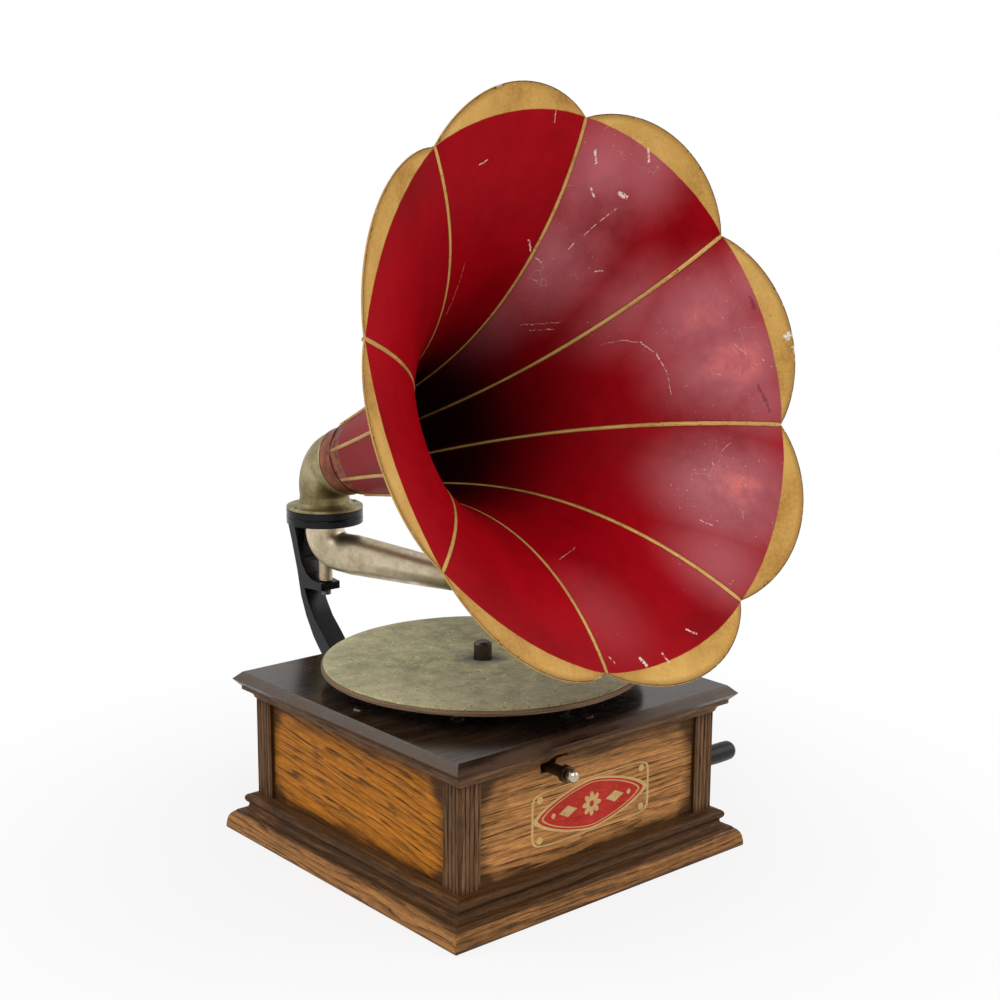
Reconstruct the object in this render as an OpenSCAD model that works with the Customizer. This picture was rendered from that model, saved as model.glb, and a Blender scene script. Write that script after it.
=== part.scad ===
// Spring-driven table gramophone with an eight-panel flower horn.
// Origin: centre of the cabinet's underside. Front is -Y, the crank is on +X, the horn bracket on +Y.

/* [Cabinet] */
// Width and depth across the faces of the four panels
case_side = 251.2; // [246:0.4:256]
// Height of the cabinet to the top of its deck
case_h = 132.4; // [130:0.2:136]
// Thickness of the four panels
panel_t = 10; // [9:0.5:11]
// Thickness of the deck
deck_t = 11.8; // [11:0.2:13]
// How far the deck's edge stands out past the panels
deck_overhang = 16.6; // [15:0.2:18]
// Height of the base moulding
base_h = 30.9; // [28:0.1:33]
// How far the base moulding stands out past the panels
base_overhang = 22.3; // [20:0.1:25]
// Height of the cornice moulding under the deck
cornice_h = 10.1; // [9:0.1:11]
// Width of each corner pilaster on a face
pilaster_w = 19; // [17:0.5:21]
// How far a pilaster stands out from the panels
pilaster_proud = 3; // [2.5:0.1:3.5]
// Reeds on each face of a pilaster
reeds = 4; // [3:1:5]
// Thickness of the bottom board
bottom_t = 8; // [6:0.5:9]

/* [Turntable] */
// Diameter of the turntable
turntable_d = 254; // [248:1:260]
// Thickness of the turntable's rim
turntable_rim_t = 4; // [3.5:0.1:4.5]
// Thickness of the felt
felt_t = 1.5; // [1:0.1:2]
// Gap between the deck and the turntable
turntable_gap = 11.2; // [10:0.1:13]
// Diameter of the spindle where the record sits
spindle_d = 14.3; // [13.5:0.1:15]
// Height of the spindle above the felt
spindle_h = 14; // [12:0.5:16]

/* [Horn] */
// Number of panels
horn_panels = 8; // [6:1:10]
// Distance along the horn's axis from the elbow's corner to the notches between petals
horn_notch_s = 339; // [330:1:348]
// Radius at the notches
horn_notch_r = 206; // [196:1:216]
// How much further out a petal's tip lies than the notches
petal_dr = 16.2; // [10:0.2:20]
// How much further forward a petal's tip lies than the notches
petal_ds = 14.3; // [10:0.1:18]
// Radius of the horn's throat
throat_r = 31.2; // [30.6:0.1:32]
// Widening of the straight cone for each millimetre of length
cone_slope = 0.17; // [0.15:0.005:0.19]
// Thickness of the horn's sheet metal
horn_t = 1.2; // [1:0.1:1.5]
// Upward tilt of the horn's axis
horn_tilt = 17.76; // [15:0.01:20]
// Sideways turn of the horn's axis towards the crank
horn_turn = 2.62; // [0:0.01:5]

/* [Bracket] */
// Distance from the spindle to the bracket's ring
ring_y = 214.8; // [212:0.1:217]
// Height of the ring's underside above the deck
ring_lift = 91.1; // [88:0.1:94]
// Radius of the ring
ring_r = 33.3; // [32.5:0.1:35]
// Height of the ring
ring_h = 12.5; // [12:0.1:13.5]
// Width of the bracket's arm
bracket_w = 20; // [18:0.5:24]

/* [Tone arm] */
// Radius of the tone arm in the ring
arm_r = 17; // [16.5:0.1:17.5]
// Radius of the tone arm at its thin end
arm_end_r = 8.2; // [7.8:0.1:8.8]
// Length of the tone arm from its corner to its thin end
arm_len = 186; // [182:1:190]
// Downward slope of the tone arm
arm_slope = 6.3; // [5.8:0.1:6.6]
// Direction of the tone arm at rest, seen from above
arm_yaw = -62; // [-68:1:-56]
// Radius of the sound box
box_r = 23.5; // [22:0.1:24]

/* [Crank] */
// Height of the crank's shaft
crank_z = 86; // [85:0.1:87]
// Place of the crank's shaft along the right side, negative to the front
crank_y = -20; // [-24:0.5:-18]
// Throw of the crank
crank_throw = 71; // [66:0.5:74]
// Slope of the crank below the horizontal at rest
crank_rest = 32.5; // [20:0.5:45]
// Diameter of the crank's shaft
crank_d = 10; // [9:0.5:11]
// Diameter of the crank's grip
grip_d = 16.5; // [15:0.5:18]
// Length of the crank's grip
grip_len = 50; // [45:1:56]

/* [Motor] */
// Gear module of the spring's train
gear_m = 1; // [0.98:0.01:1.02]
// Teeth of the great wheel on the barrel
great_n = 84; // [80:2:88]
// Teeth of the layshaft's pinion
lay_pinion_n = 14; // [13:1:15]
// Teeth of the layshaft's wheel
lay_wheel_n = 60; // [56:2:64]
// Teeth of the spindle's pinion
spindle_pinion_n = 12; // [12:1:14]
// Distance from the spindle to the barrel along X
barrel_x = 62; // [60:0.5:64]
// Radius of the spring barrel
barrel_r = 36; // [33:0.5:38]
// Height of the spring barrel
barrel_h = 29; // [26:0.5:30]

/* [Brake] */
// Place of the front lever's knob along X
lever_x = -44.6; // [-46:0.1:-43]
// Depth of the front lever's knob below the deck's underside
lever_drop = 14.7; // [13.6:0.1:15.6]
// Length of the front lever outside the panel
lever_out = 31; // [26:0.5:36]

/* [Hidden] */
$fn = 48;

// Clearances
fit = 0.05;
run_gap = 0.4;
seat_gap = 0.05;
body_gap = 0.3;
mitre_gap = 0.05;

// Cabinet levels and half widths
panel_h = case_side / 2;
panel_in = panel_h - panel_t;
panel_z0 = 0;
deck_z = case_h - deck_t;
base_out = panel_h + base_overhang;
deck_out = panel_h + deck_overhang;
pilaster_out = panel_h + pilaster_proud;
cornice_z = deck_z - cornice_h;
cornice_out = panel_h + 11.3;
bottom_top = panel_z0 + bottom_t;

// Turntable levels
table_r = turntable_d / 2;
plate_z0 = case_h + turntable_gap;
plate_z1 = plate_z0 + turntable_rim_t;
felt_z1 = plate_z1 + felt_t;
web_t = 2;
felt_inset = 1.5;
table_hub_r = 14;
deck_hole_r = 11;
deck_screw_r = 2;
rim_ring_w = 19;
spindle_r = spindle_d / 2;
spindle_low_r = 4;
spindle_top = felt_z1 + spindle_h;
spindle_tip_h = 2;
spindle_pin_z = felt_z1 + body_gap;
spindle_hub_r = spindle_r - 0.4;
hub_low_z = plate_z0 - 6;

// Motor levels
plate_t = 4;
motor_top_z = deck_z - 16.6;
motor_low_z = bottom_top + 18;
motor_low_top = motor_low_z + plate_t;
motor_hy = 76;
pillar_y = motor_hy - 11;
pillar_r = 4;
bolt_r = 2.5;

// Gear train
great_r = gear_m * great_n / 2;
lay_pinion_r = gear_m * lay_pinion_n / 2;
lay_wheel_r = gear_m * lay_wheel_n / 2;
spindle_pinion_r = gear_m * spindle_pinion_n / 2;
barrel_pos = [barrel_x, crank_y];
centre_a = lay_wheel_r + spindle_pinion_r;
centre_b = great_r + lay_pinion_r;
centre_c = norm(barrel_pos);
lay_along = (centre_a * centre_a - centre_b * centre_b + centre_c * centre_c) / (2 * centre_c);
lay_aside = sqrt(centre_a * centre_a - lay_along * lay_along);
to_barrel = barrel_pos / centre_c;
lay_pos = lay_along * to_barrel + lay_aside * [-to_barrel[1], to_barrel[0]];
great_z = motor_low_top + 6;
gear_t = 3;
pinion_over = 2;
barrel_z = great_z + gear_t;
arbor_r = 4;
lay_r = 3;
lay_wheel_z = motor_top_z - 16;
lay_dir_great = atan2(barrel_pos[1] - lay_pos[1], barrel_pos[0] - lay_pos[0]);
lay_dir_spindle = atan2(-lay_pos[1], -lay_pos[0]);

// Winding gear
wind_m = 1.25;
wind_pinion_n = 16;
wind_pinion_r = wind_m * wind_pinion_n / 2;
wind_wheel_n = 32;
wind_wheel_r = wind_m * wind_wheel_n / 2;
wind_pitch_z = crank_z - wind_pinion_r;
wind_tooth_w = 4;
motor_hx = barrel_x + wind_wheel_r + 10;
pillar_x = motor_hx - 13;
wind_t = 3;
ratchet_z = motor_top_z - 6;
ratchet_t = 3;
ratchet_r = 15;
ratchet_n = 16;
click_pos = barrel_pos + [0, 26];

// Governor
worm_n = 4;
gov_wheel_n = 40;
gov_m = 1;
gov_wheel_r = gov_m * gov_wheel_n / 2;
gov_wheel_t = 5;
worm_r = 5;
gov_x = -(gov_wheel_r + worm_r);
gov_z = 68;
gov_r = 2.5;
gov_hub_r = 8;
gov_spring_t = 0.6;
worm_l = 16;
gov_y0 = -18;
gov_y1 = 84;
gov_collar_y = 24;
gov_disc_y = 62;
gov_disc_r = 13;
gov_weight_r = 4.5;
gov_weight_reach = 13;
gov_hinge_y = gov_disc_y + 5.9;
gov_hinge_z = motor_top_z - 2;
gov_hinge_r = 1.2;

// Brake
lever_z = deck_z - lever_drop;
lever_pivot = [lever_x + 12.7, lever_z - 10.1];
lever_rod_r = 4.2;
lever_collar_r = 6.4;
lever_ball_r = 5;
lever_pin_r = 3;
brake_rod_x = -12;
brake_rod_y = -(panel_in - 5.6);
brake_rod_r = 2.5;
brake_y1 = -(panel_in - 1.2);
brake_t = 2.4;

// Bracket, ring and elbow
ring_z = case_h + ring_lift;
ring_top = ring_z + ring_h;
flange_t = 2.5;
bracket_hw = bracket_w / 2;
plate_back_t = 7;
plate_hw = 27;
bracket_screw_r = 2.5;
bracket_z0 = case_h - 88.4;
bracket_z1 = bracket_z0 + 56;
pivot_top = ring_z - 51.5;
pivot_r = 3;
pivot_len = 14;
arm_lip = 3.5;
arm_lip_t = 3;

// Horn frame: corner of the elbow, axis and its two cross directions
elbow_z = ring_top + 35.2;
horn_o = [0, ring_y, elbow_z];
horn_n = [sin(horn_turn) * cos(horn_tilt), -cos(horn_turn) * cos(horn_tilt), sin(horn_tilt)];
horn_u = [cos(horn_turn), sin(horn_turn), 0];
horn_v = cross(horn_n, horn_u);
horn_phase = 121.3;
ferrule_s0 = 34;
ferrule_s1 = 56;
horn_s0 = ferrule_s1 - 2;
horn_rows = 14;
panel_steps = 6;

// Tone arm
corner_z = ring_z - 24.5;
arm_bend_t = 18;
arm_dir = [cos(arm_yaw) * cos(arm_slope), sin(arm_yaw) * cos(arm_slope), -sin(arm_slope)];
box_x = 213;
box_back_y = -12;
box_t = 12;
box_wall = 3;
box_gap = 0.1;
box_z = felt_z1 + 32.9;
needle_tip_z = felt_z1 + 1.5;
needle_slope = 60;

// Blend from a to b
function mix(a, b, t) = a + (b - a) * t;
function unit(v) = v / norm(v);

// Points on a quarter or part arc, centre c, radius r, from angle a0 to a1
function arc(c, r, a0, a1, n) = [for (i = [0:n]) c + r * [cos(mix(a0, a1, i / n)), sin(mix(a0, a1, i / n))]];

// Outline of a spur gear: m is its module, n its teeth, play the angle taken off each flank
function gear_outline(m, n, play) = [
    for (i = [0:n - 1], k = [0:5])
        let (
            r = m * n / 2,
            step = 360 / n,
            half = [step * 0.37, step * 0.25, step * 0.12, step * 0.12, step * 0.25, step * 0.37][k],
            side = k < 3 ? -1 : 1,
            rad = [r - 1.15 * m, r, r + 0.85 * m, r + 0.85 * m, r, r - 1.15 * m][k]
        )
        rad * [cos(i * step + side * (half - play)), sin(i * step + side * (half - play))]
];

// Tube through a list of rings, each [centre, cross direction, cross direction, outer radius, inner radius]
module tube(rings, sides) {
    n = len(rings);
    around = [for (j = [0:sides - 1]) 360 * j / sides];
    points = [
        for (k = [3, 4], g = rings, a = around)
            g[0] + g[k] * (cos(a) * g[1] + sin(a) * g[2])
    ];
    far = n * sides;
    faces = [
        for (i = [0:n - 2], j = [0:sides - 1])
            let (k = (j + 1) % sides)
            [i * sides + j, (i + 1) * sides + j, (i + 1) * sides + k, i * sides + k],
        for (i = [0:n - 2], j = [0:sides - 1])
            let (k = (j + 1) % sides)
            [far + i * sides + k, far + (i + 1) * sides + k, far + (i + 1) * sides + j, far + i * sides + j],
        for (j = [0:sides - 1])
            let (k = (j + 1) % sides)
            [j, k, far + k, far + j],
        for (j = [0:sides - 1])
            let (k = (j + 1) % sides, e = (n - 1) * sides)
            [far + e + j, far + e + k, e + k, e + j]
    ];
    polyhedron(points, faces, convexity = 6);
}

// Turns what is drawn along +Z so that it runs along direction d from point p
module along(p, d) {
    translate(p)
        rotate([0, acos(d[2] / norm(d)), atan2(d[1], d[0])])
            children();
}

// Four mitred lengths of a moulding whose profile is [half width, height]
module mitred(profile, reach) {
    for (turn = [0:90:270])
        rotate([0, 0, turn])
            intersection() {
                translate([-reach, 0, 0])
                    rotate([90, 0, 90])
                        linear_extrude(2 * reach)
                            polygon([for (p = profile) [-p[0], p[1]]]);
                linear_extrude(case_h)
                    polygon([[0, -mitre_gap], [-reach, -reach - mitre_gap], [reach, -reach - mitre_gap]]);
            }
}

// Wood screw with a domed head, its head's seat at the origin and its shank along -Z
module wood_screw(head_r, shank_r, length) {
    translate([0, 0, -length])
        cylinder(h = length, r = shank_r);
    difference() {
        rotate_extrude()
            intersection() {
                translate([0, -head_r * 0.9])
                    circle(head_r * 1.35);
                square([head_r, head_r]);
            }
        translate([-head_r, -head_r * 0.12, head_r * 0.25])
            cube([2 * head_r, head_r * 0.24, head_r]);
    }
}

// The four places of the deck's screws
module at_deck_screws() {
    for (turn = [0:90:270])
        rotate([0, 0, turn])
            translate([0, -(panel_h - panel_t / 2), case_h])
                children();
}

module at_motor_bolts() {
    for (sx = [-1, 1], sy = [-1, 1])
        translate([sx * pillar_x, sy * pillar_y, 0])
            children();
}

module bottom_board() {
    color("peru")
        translate([-panel_in, -panel_in, panel_z0])
            cube([2 * panel_in, 2 * panel_in, bottom_t]);
}

// Base moulding: plinth foot, ogee, fillet and bead
base_profile = concat(
    [[panel_h, 0], [base_out, 0], [base_out - 0.2, 4.2]],
    arc([base_out - 10.5, 6], 9.8, 5, 62, 5),
    [[base_out - 6.6, 15.6]],
    arc([base_out - 7.4, 21.6], 6.4, 250, 182, 4),
    arc([base_out - 15.0, 25.6], 3.9, 300, 450, 5),
    [[pilaster_out, base_h], [panel_h, base_h]]
);

module base_moulding() {
    color("goldenrod")
        mitred(base_profile, base_out);
}

module cornice_moulding() {
    color("goldenrod")
        difference() {
            mitred(concat(
                [[panel_h, cornice_z], [pilaster_out, cornice_z]],
                arc([cornice_out, cornice_z], cornice_out - pilaster_out - 1, 172, 100, 5),
                [[cornice_out, deck_z - 2.9], [cornice_out, deck_z], [panel_h, deck_z]]
            ), cornice_out);
            lever_slot();
        }
}

// Bent slot in which the lever travels, as [x, z] from the lever at rest. It cuts the cornice's lower edge too
slot_outline = [
    [-6.8, -4.4], [6.6, -4.4], [7.3, 0.5], [8.9, 3.3], [11.1, 4.2], [16.6, 4.6], [16.6, 8.2], [4, 9.1], [-6.8, 3.7]
];

module lever_slot() {
    translate([lever_x, -cornice_out - 1, lever_z])
        rotate([-90, 0, 0])
            linear_extrude(cornice_out - panel_in + 2)
                polygon([for (p = slot_outline) [p[0], -p[1]]]);
}

module front_panel() {
    color("sienna")
        difference() {
            translate([-panel_h, -panel_h, panel_z0])
                cube([2 * panel_h, panel_t, deck_z - panel_z0]);
            lever_slot();
            at_deck_screws()
                translate([0, 0, -deck_t - 14])
                    cylinder(h = deck_t + 14, r = deck_screw_r + seat_gap);
        }
}

module back_panel() {
    color("goldenrod")
        difference() {
            translate([-panel_h, panel_in, panel_z0])
                cube([2 * panel_h, panel_t, deck_z - panel_z0]);
            at_bracket_screws()
                translate([0, 0, -plate_back_t - panel_t + 1])
                    cylinder(h = plate_back_t + panel_t, r = bracket_screw_r + seat_gap);
            at_deck_screws()
                translate([0, 0, -deck_t - 14])
                    cylinder(h = deck_t + 14, r = deck_screw_r + seat_gap);
        }
}

module side_panel(side) {
    difference() {
        translate([side > 0 ? panel_in : -panel_h, -panel_in, panel_z0])
            cube([panel_t, 2 * panel_in, deck_z - panel_z0]);
        at_deck_screws()
            translate([0, 0, -deck_t - 14])
                cylinder(h = deck_t + 14, r = deck_screw_r + seat_gap);
    }
}

module left_panel() {
    color("goldenrod")
        side_panel(-1);
}

bush_r = crank_d / 2 + 3;

module right_panel() {
    color("goldenrod")
        difference() {
            side_panel(1);
            translate([panel_in - 1, crank_y, crank_z])
                rotate([0, 90, 0])
                    cylinder(h = panel_t + 2, r = bush_r + seat_gap);
        }
}

// Corner pilasters: an angle of wood with round reeds on both faces
module pilaster() {
    reed_pitch = (pilaster_w - 3) / reeds;
    reed_r = reed_pitch * 0.42;
    translate([0, 0, base_h])
        linear_extrude(cornice_z - base_h)
            difference() {
                polygon([
                    [pilaster_out, pilaster_out], [pilaster_out - pilaster_w, pilaster_out],
                    [pilaster_out - pilaster_w, panel_h], [panel_h, panel_h],
                    [panel_h, pilaster_out - pilaster_w], [pilaster_out, pilaster_out - pilaster_w]
                ]);
                for (i = [0:reeds])
                    for (flip = [0, 1]) {
                        shift = pilaster_out - 1.5 - i * reed_pitch;
                        at = flip == 0 ? [shift, pilaster_out] : [pilaster_out, shift];
                        translate(at)
                            rotate(45)
                                square(reed_r * 0.9, center = true);
                    }
            }
}

module corner_pilasters() {
    color("saddlebrown")
        for (turn = [0:90:270])
            rotate([0, 0, turn])
                pilaster();
}

deck_profile = [
    [-cornice_out, deck_z], [cornice_out, deck_z], [deck_out, deck_z + deck_t * 0.48],
    [deck_out - 6.2, case_h], [-deck_out + 6.2, case_h], [-deck_out, deck_z + deck_t * 0.48]
];

module top_board() {
    color([0.22, 0.17, 0.15])
        difference() {
            intersection() {
                translate([-deck_out, 0, 0])
                    rotate([90, 0, 90])
                        linear_extrude(2 * deck_out)
                            polygon(deck_profile);
                translate([0, deck_out, 0])
                    rotate([90, 0, 0])
                        linear_extrude(2 * deck_out)
                            polygon(deck_profile);
            }
            translate([0, 0, deck_z - 1])
                cylinder(h = deck_t + 2, r = deck_hole_r);
            at_motor_bolts()
                translate([0, 0, deck_z - 1])
                    cylinder(h = deck_t + 2, r = bolt_r + seat_gap);
            at_deck_screws()
                translate([0, 0, -deck_t - 1])
                    cylinder(h = deck_t + 2, r = deck_screw_r + seat_gap);
            translate([brake_rod_x, brake_rod_y, deck_z - 1])
                cylinder(h = deck_t + 2, r = brake_rod_r + 2 + seat_gap);
        }
}

module top_board_screws() {
    color("dimgray")
        at_deck_screws()
            wood_screw(4.2, deck_screw_r, deck_t + 13);
}

// Motor frame: two plates held apart by pillars and hung from the deck
module motor_plate(z) {
    difference() {
        translate([-motor_hx, -motor_hy, z])
            cube([2 * motor_hx, 2 * motor_hy, plate_t]);
        for (c = [[0, 0, spindle_low_r], [lay_pos[0], lay_pos[1], lay_r], [barrel_x, crank_y, arbor_r]])
            translate([c[0], c[1], z - 1])
                cylinder(h = plate_t + 2, r = c[2] + fit);
        at_motor_bolts()
            translate([0, 0, z - 1])
                cylinder(h = plate_t + 2, r = bolt_r + seat_gap);
        for (sx = [-1, 1], sy = [-1, 1])
            translate([sx * motor_hx, sy * motor_hy, z - 1])
                rotate(45)
                    cube([12, 12, 2 * plate_t + 4], center = true);
    }
}

module motor_top_plate() {
    color("dimgray")
        difference() {
            union() {
                motor_plate(motor_top_z);
                for (sx = [-1, 1])
                    translate([gov_x + 3.6 * sx - 1, gov_hinge_y - 2.5, motor_top_z - 4.5])
                        cube([2, 5, 5]);
            }
            translate([click_pos[0], click_pos[1], motor_top_z - 1])
                cylinder(h = plate_t + 2, r = 2 + seat_gap);
            translate([gov_x - 6, gov_hinge_y, gov_hinge_z])
                rotate([0, 90, 0])
                    cylinder(h = 12, r = gov_hinge_r + fit);
        }
}

module motor_bottom_plate() {
    color("dimgray")
        motor_plate(motor_low_z);
}

// Spacers between the plates, and between the upper plate and the deck
module motor_pillars() {
    color("silver")
        at_motor_bolts()
            for (span = [[motor_low_top, motor_top_z], [motor_top_z + plate_t, deck_z]])
                difference() {
                    translate([0, 0, span[0]])
                        cylinder(h = span[1] - span[0], r = pillar_r);
                    translate([0, 0, span[0] - 1])
                        cylinder(h = span[1] - span[0] + 2, r = bolt_r + seat_gap);
                }
}

module motor_bolts() {
    color("dimgray")
        at_motor_bolts() {
            translate([0, 0, case_h])
                wood_screw(5.2, bolt_r, case_h - motor_low_z + 4);
            translate([0, 0, motor_low_z - 3])
                difference() {
                    cylinder(h = 3, r = 4.6, $fn = 6);
                    translate([0, 0, -1])
                        cylinder(h = 5, r = bolt_r + seat_gap);
                }
        }
}

// Two hangers under the upper plate that carry the governor's shaft
module governor_bearings() {
    color("slategray")
        for (y = [gov_y0, gov_y1])
            difference() {
                union() {
                    translate([gov_x - 6, y - 2, gov_z])
                        cube([12, 4, motor_top_z - gov_z]);
                    translate([gov_x, y + 2, gov_z])
                        rotate([90, 0, 0])
                            cylinder(h = 4, r = 6);
                }
                translate([gov_x, y + 3, gov_z])
                    rotate([90, 0, 0])
                        cylinder(h = 6, r = gov_r + fit);
            }
}

// Flanged bush in the right side and a hanger under the upper plate
crank_hanger_x = motor_hx;
crank_hanger_t = 5;
crank_hanger_hw = 8;

module crank_bearing() {
    color("dimgray") {
        difference() {
            union() {
                translate([panel_in - 4, crank_y, crank_z])
                    rotate([0, 90, 0])
                        cylinder(h = panel_t + 4, r = bush_r);
                translate([panel_h, crank_y, crank_z])
                    rotate([0, 90, 0])
                        cylinder(h = 3, r = bush_r + 8);
            }
            translate([panel_in - 5, crank_y, crank_z])
                rotate([0, 90, 0])
                    cylinder(h = panel_t + 10, r = crank_d / 2 + fit);
        }
        difference() {
            union() {
                translate([crank_hanger_x, crank_y - crank_hanger_hw, crank_z])
                    cube([crank_hanger_t, 2 * crank_hanger_hw, motor_top_z + plate_t + 4 - crank_z]);
                translate([crank_hanger_x, crank_y, crank_z])
                    rotate([0, 90, 0])
                        cylinder(h = crank_hanger_t, r = crank_hanger_hw);
                translate([crank_hanger_x - 14, crank_y - crank_hanger_hw, motor_top_z + plate_t])
                    cube([crank_hanger_t + 14, 2 * crank_hanger_hw, 4]);
            }
            translate([crank_hanger_x - 1, crank_y, crank_z])
                rotate([0, 90, 0])
                    cylinder(h = crank_hanger_t + 2, r = crank_d / 2 + fit);
        }
    }
}

// Block behind the front panel with the lever's pivot pin, and the guide bush of the brake rod
module brake_bracket() {
    color("dimgray") {
        translate([lever_pivot[0], -panel_in, lever_pivot[1]])
            rotate([-90, 0, 0])
                cylinder(h = 8, r = lever_pin_r);
        difference() {
            translate([brake_rod_x, brake_rod_y, deck_z - 4])
                cylinder(h = deck_t + 4, r = brake_rod_r + 2);
            translate([brake_rod_x, brake_rod_y, deck_z - 5])
                cylinder(h = deck_t + 6, r = brake_rod_r + fit);
        }
    }
}

// Leaf spring that keeps the click in the ratchet
module click_spring() {
    color("silver")
        translate([click_pos[0] + 9, click_pos[1] - 3, ratchet_z - 1])
            cube([1, 14, motor_top_z - ratchet_z + 1]);
}

module at_bracket_screws() {
    for (sx = [-1, 1], z = [bracket_z0 + 9, bracket_z1 - 9])
        translate([sx * (plate_hw - 8), panel_h + plate_back_t, z])
            rotate([-90, 0, 0])
                children();
}

// Side view of the bracket's arm. Points are [y, z] from the ring's axis and the deck's top
function from_ring(points) = [for (p = points) [ring_y + p[0], case_h + p[1]]];

arm_back = concat(
    [[panel_h + 3, case_h - 82.4], [panel_h + 20, case_h - 80.4]],
    from_ring([
        [-44.8, -66.4], [-24.8, -46.4], [-6.4, -26.4], [5.9, -13.4], [16.8, 3.6], [24.5, 20.6], [30.2, 44.6],
        [32.2, 71.6], [32.2, ring_lift + 3]
    ])
);
arm_front = concat(
    from_ring([
        [20, ring_lift + 3], [22.7, 86.6], [23.2, 67.6], [21.7, 51.6], [16.2, 42.6], [7.2, 38.4], [-7, 37.1],
        [-7, 30.6], [9.2, 29.6], [19.2, 28.6], [13.4, 16.4], [4.4, 3.6], [-7.8, -7.4], [-26.8, -26.4],
        [-44.8, -40.4], [-64.8, -49.4]
    ]),
    [[panel_h + 3, case_h - 52.4]]
);
// Front view of its right half, as [half width, z]
arm_widths = [
    [12, bracket_z0 - 4], [bracket_hw, bracket_z1], [bracket_hw, case_h + 44.6], [14, case_h + 71.6],
    [19, ring_z + 3]
];

module rear_bracket() {
    color([0.1, 0.1, 0.11])
        difference() {
            union() {
                intersection() {
                    translate([-plate_hw, 0, 0])
                        rotate([90, 0, 90])
                            linear_extrude(2 * plate_hw)
                                polygon(concat(arm_back, arm_front));
                    translate([0, 2 * ring_y, 0])
                        rotate([90, 0, 0])
                            linear_extrude(2 * ring_y)
                                polygon(concat(
                                    arm_widths,
                                    [for (i = [len(arm_widths) - 1:-1:0]) [-arm_widths[i][0], arm_widths[i][1]]]
                                ));
                }
                translate([-plate_hw, panel_h, bracket_z0])
                    cube([2 * plate_hw, plate_back_t, bracket_z1 - bracket_z0]);
                translate([0, ring_y, ring_z])
                    cylinder(h = ring_h, r = ring_r);
            }
            translate([0, ring_y, ring_z - 1])
                cylinder(h = ring_h + 2, r = arm_r + fit);
            translate([0, ring_y, ring_top - arm_lip_t - 1])
                cylinder(h = arm_lip_t + 2, r = arm_r + arm_lip + run_gap);
            translate([0, ring_y, ring_z + ring_h * 0.5])
                rotate_extrude()
                    translate([ring_r, 0])
                        circle(0.9);
            translate([0, ring_y, pivot_top - pivot_len])
                cylinder(h = pivot_len, r = pivot_r + seat_gap);
            at_bracket_screws()
                translate([0, 0, -plate_back_t - 1])
                    cylinder(h = plate_back_t + 6, r = bracket_screw_r + seat_gap);
            translate([-bracket_hw + 3.5, ring_y + 15.2, case_h + 55.6])
                cube([bracket_w - 7, 10, 30]);
        }
}

module bracket_screws() {
    color("silver")
        at_bracket_screws()
            wood_screw(5, bracket_screw_r, plate_back_t + panel_t - 2);
}

// Pointed screw in the bracket's branch that carries the tone arm
module pivot_screw() {
    color("silver")
        translate([0, ring_y, 0]) {
            translate([0, 0, pivot_top - pivot_len + 2])
                cylinder(h = pivot_len - 3, r = pivot_r);
            translate([0, 0, pivot_top - 1])
                cylinder(h = 2.6, r1 = pivot_r, r2 = 1.2);
            translate([0, 0, pivot_top - pivot_len])
                cylinder(h = 3, r = pivot_r * 1.5);
        }
}

// Elbow: foot flange, bent tube and mouth
elbow_bend = 90 - horn_tilt;
elbow_tangent = 24;
elbow_radius = elbow_tangent / tan(elbow_bend / 2);
elbow_side = [sin(horn_turn), -cos(horn_turn), 0];
elbow_centre = horn_o + elbow_radius * elbow_side - [0, 0, elbow_tangent];

function elbow_ring(t) =
    let (
        a = elbow_bend * t,
        c = elbow_centre - elbow_radius * (cos(a) * elbow_side - sin(a) * [0, 0, 1]),
        side = cos(a) * elbow_side - sin(a) * [0, 0, 1],
        r = mix(21.5, 28, t)
    )
    [c, -horn_u, side, r, r - 1.6];

module horn_elbow() {
    foot = [for (p = [[0, ring_r], [flange_t, ring_r], [flange_t + 0.02, 27], [flange_t + 3, 23], [flange_t + 7, 21.6]])
        [[0, ring_y, ring_top + p[0]], -horn_u, elbow_side, p[1], 19.5]];
    side = cos(elbow_bend) * elbow_side - sin(elbow_bend) * [0, 0, 1];
    mouth = [for (p = [[28, 28.4], [ferrule_s0 - body_gap, 28.9]])
        [horn_o + p[0] * horn_n, -horn_u, side, p[1], 27.4]];
    color([0.5, 0.48, 0.36])
        difference() {
            tube(concat(foot, [for (i = [0:8]) elbow_ring(i / 8)], mouth), 32);
            at_elbow_screws()
                translate([0, 0, -flange_t - 1])
                    cylinder(h = flange_t + 2, r = 1.5 + seat_gap);
        }
}

module at_elbow_screws() {
    for (a = [-5:90:265])
        translate([0, ring_y, ring_top + flange_t + seat_gap])
            rotate([0, 0, a])
                translate([ring_r - 3.1, 0, 0])
                    children();
}

module elbow_screws() {
    color("silver")
        at_elbow_screws()
            wood_screw(2.4, 1.5, flange_t);
}

module turntable_plate() {
    color("silver")
        difference() {
            union() {
                difference() {
                    translate([0, 0, plate_z0])
                        cylinder(h = turntable_rim_t, r = table_r, $fn = 96);
                    translate([0, 0, plate_z0 - 1])
                        cylinder(h = turntable_rim_t - web_t + 1, r = table_r - rim_ring_w);
                }
                translate([0, 0, hub_low_z])
                    cylinder(h = plate_z1 - hub_low_z, r = table_hub_r);
            }
            translate([0, 0, hub_low_z - 1])
                cylinder(h = plate_z1 - hub_low_z + 2, r = spindle_hub_r + seat_gap);
        }
}

module turntable_felt() {
    color([0.55, 0.56, 0.45])
        difference() {
            translate([0, 0, plate_z1])
                cylinder(h = felt_t, r = table_r - felt_inset, $fn = 96);
            translate([0, 0, plate_z1 - 1])
                cylinder(h = felt_t + 2, r = spindle_r + body_gap);
        }
}

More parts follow.
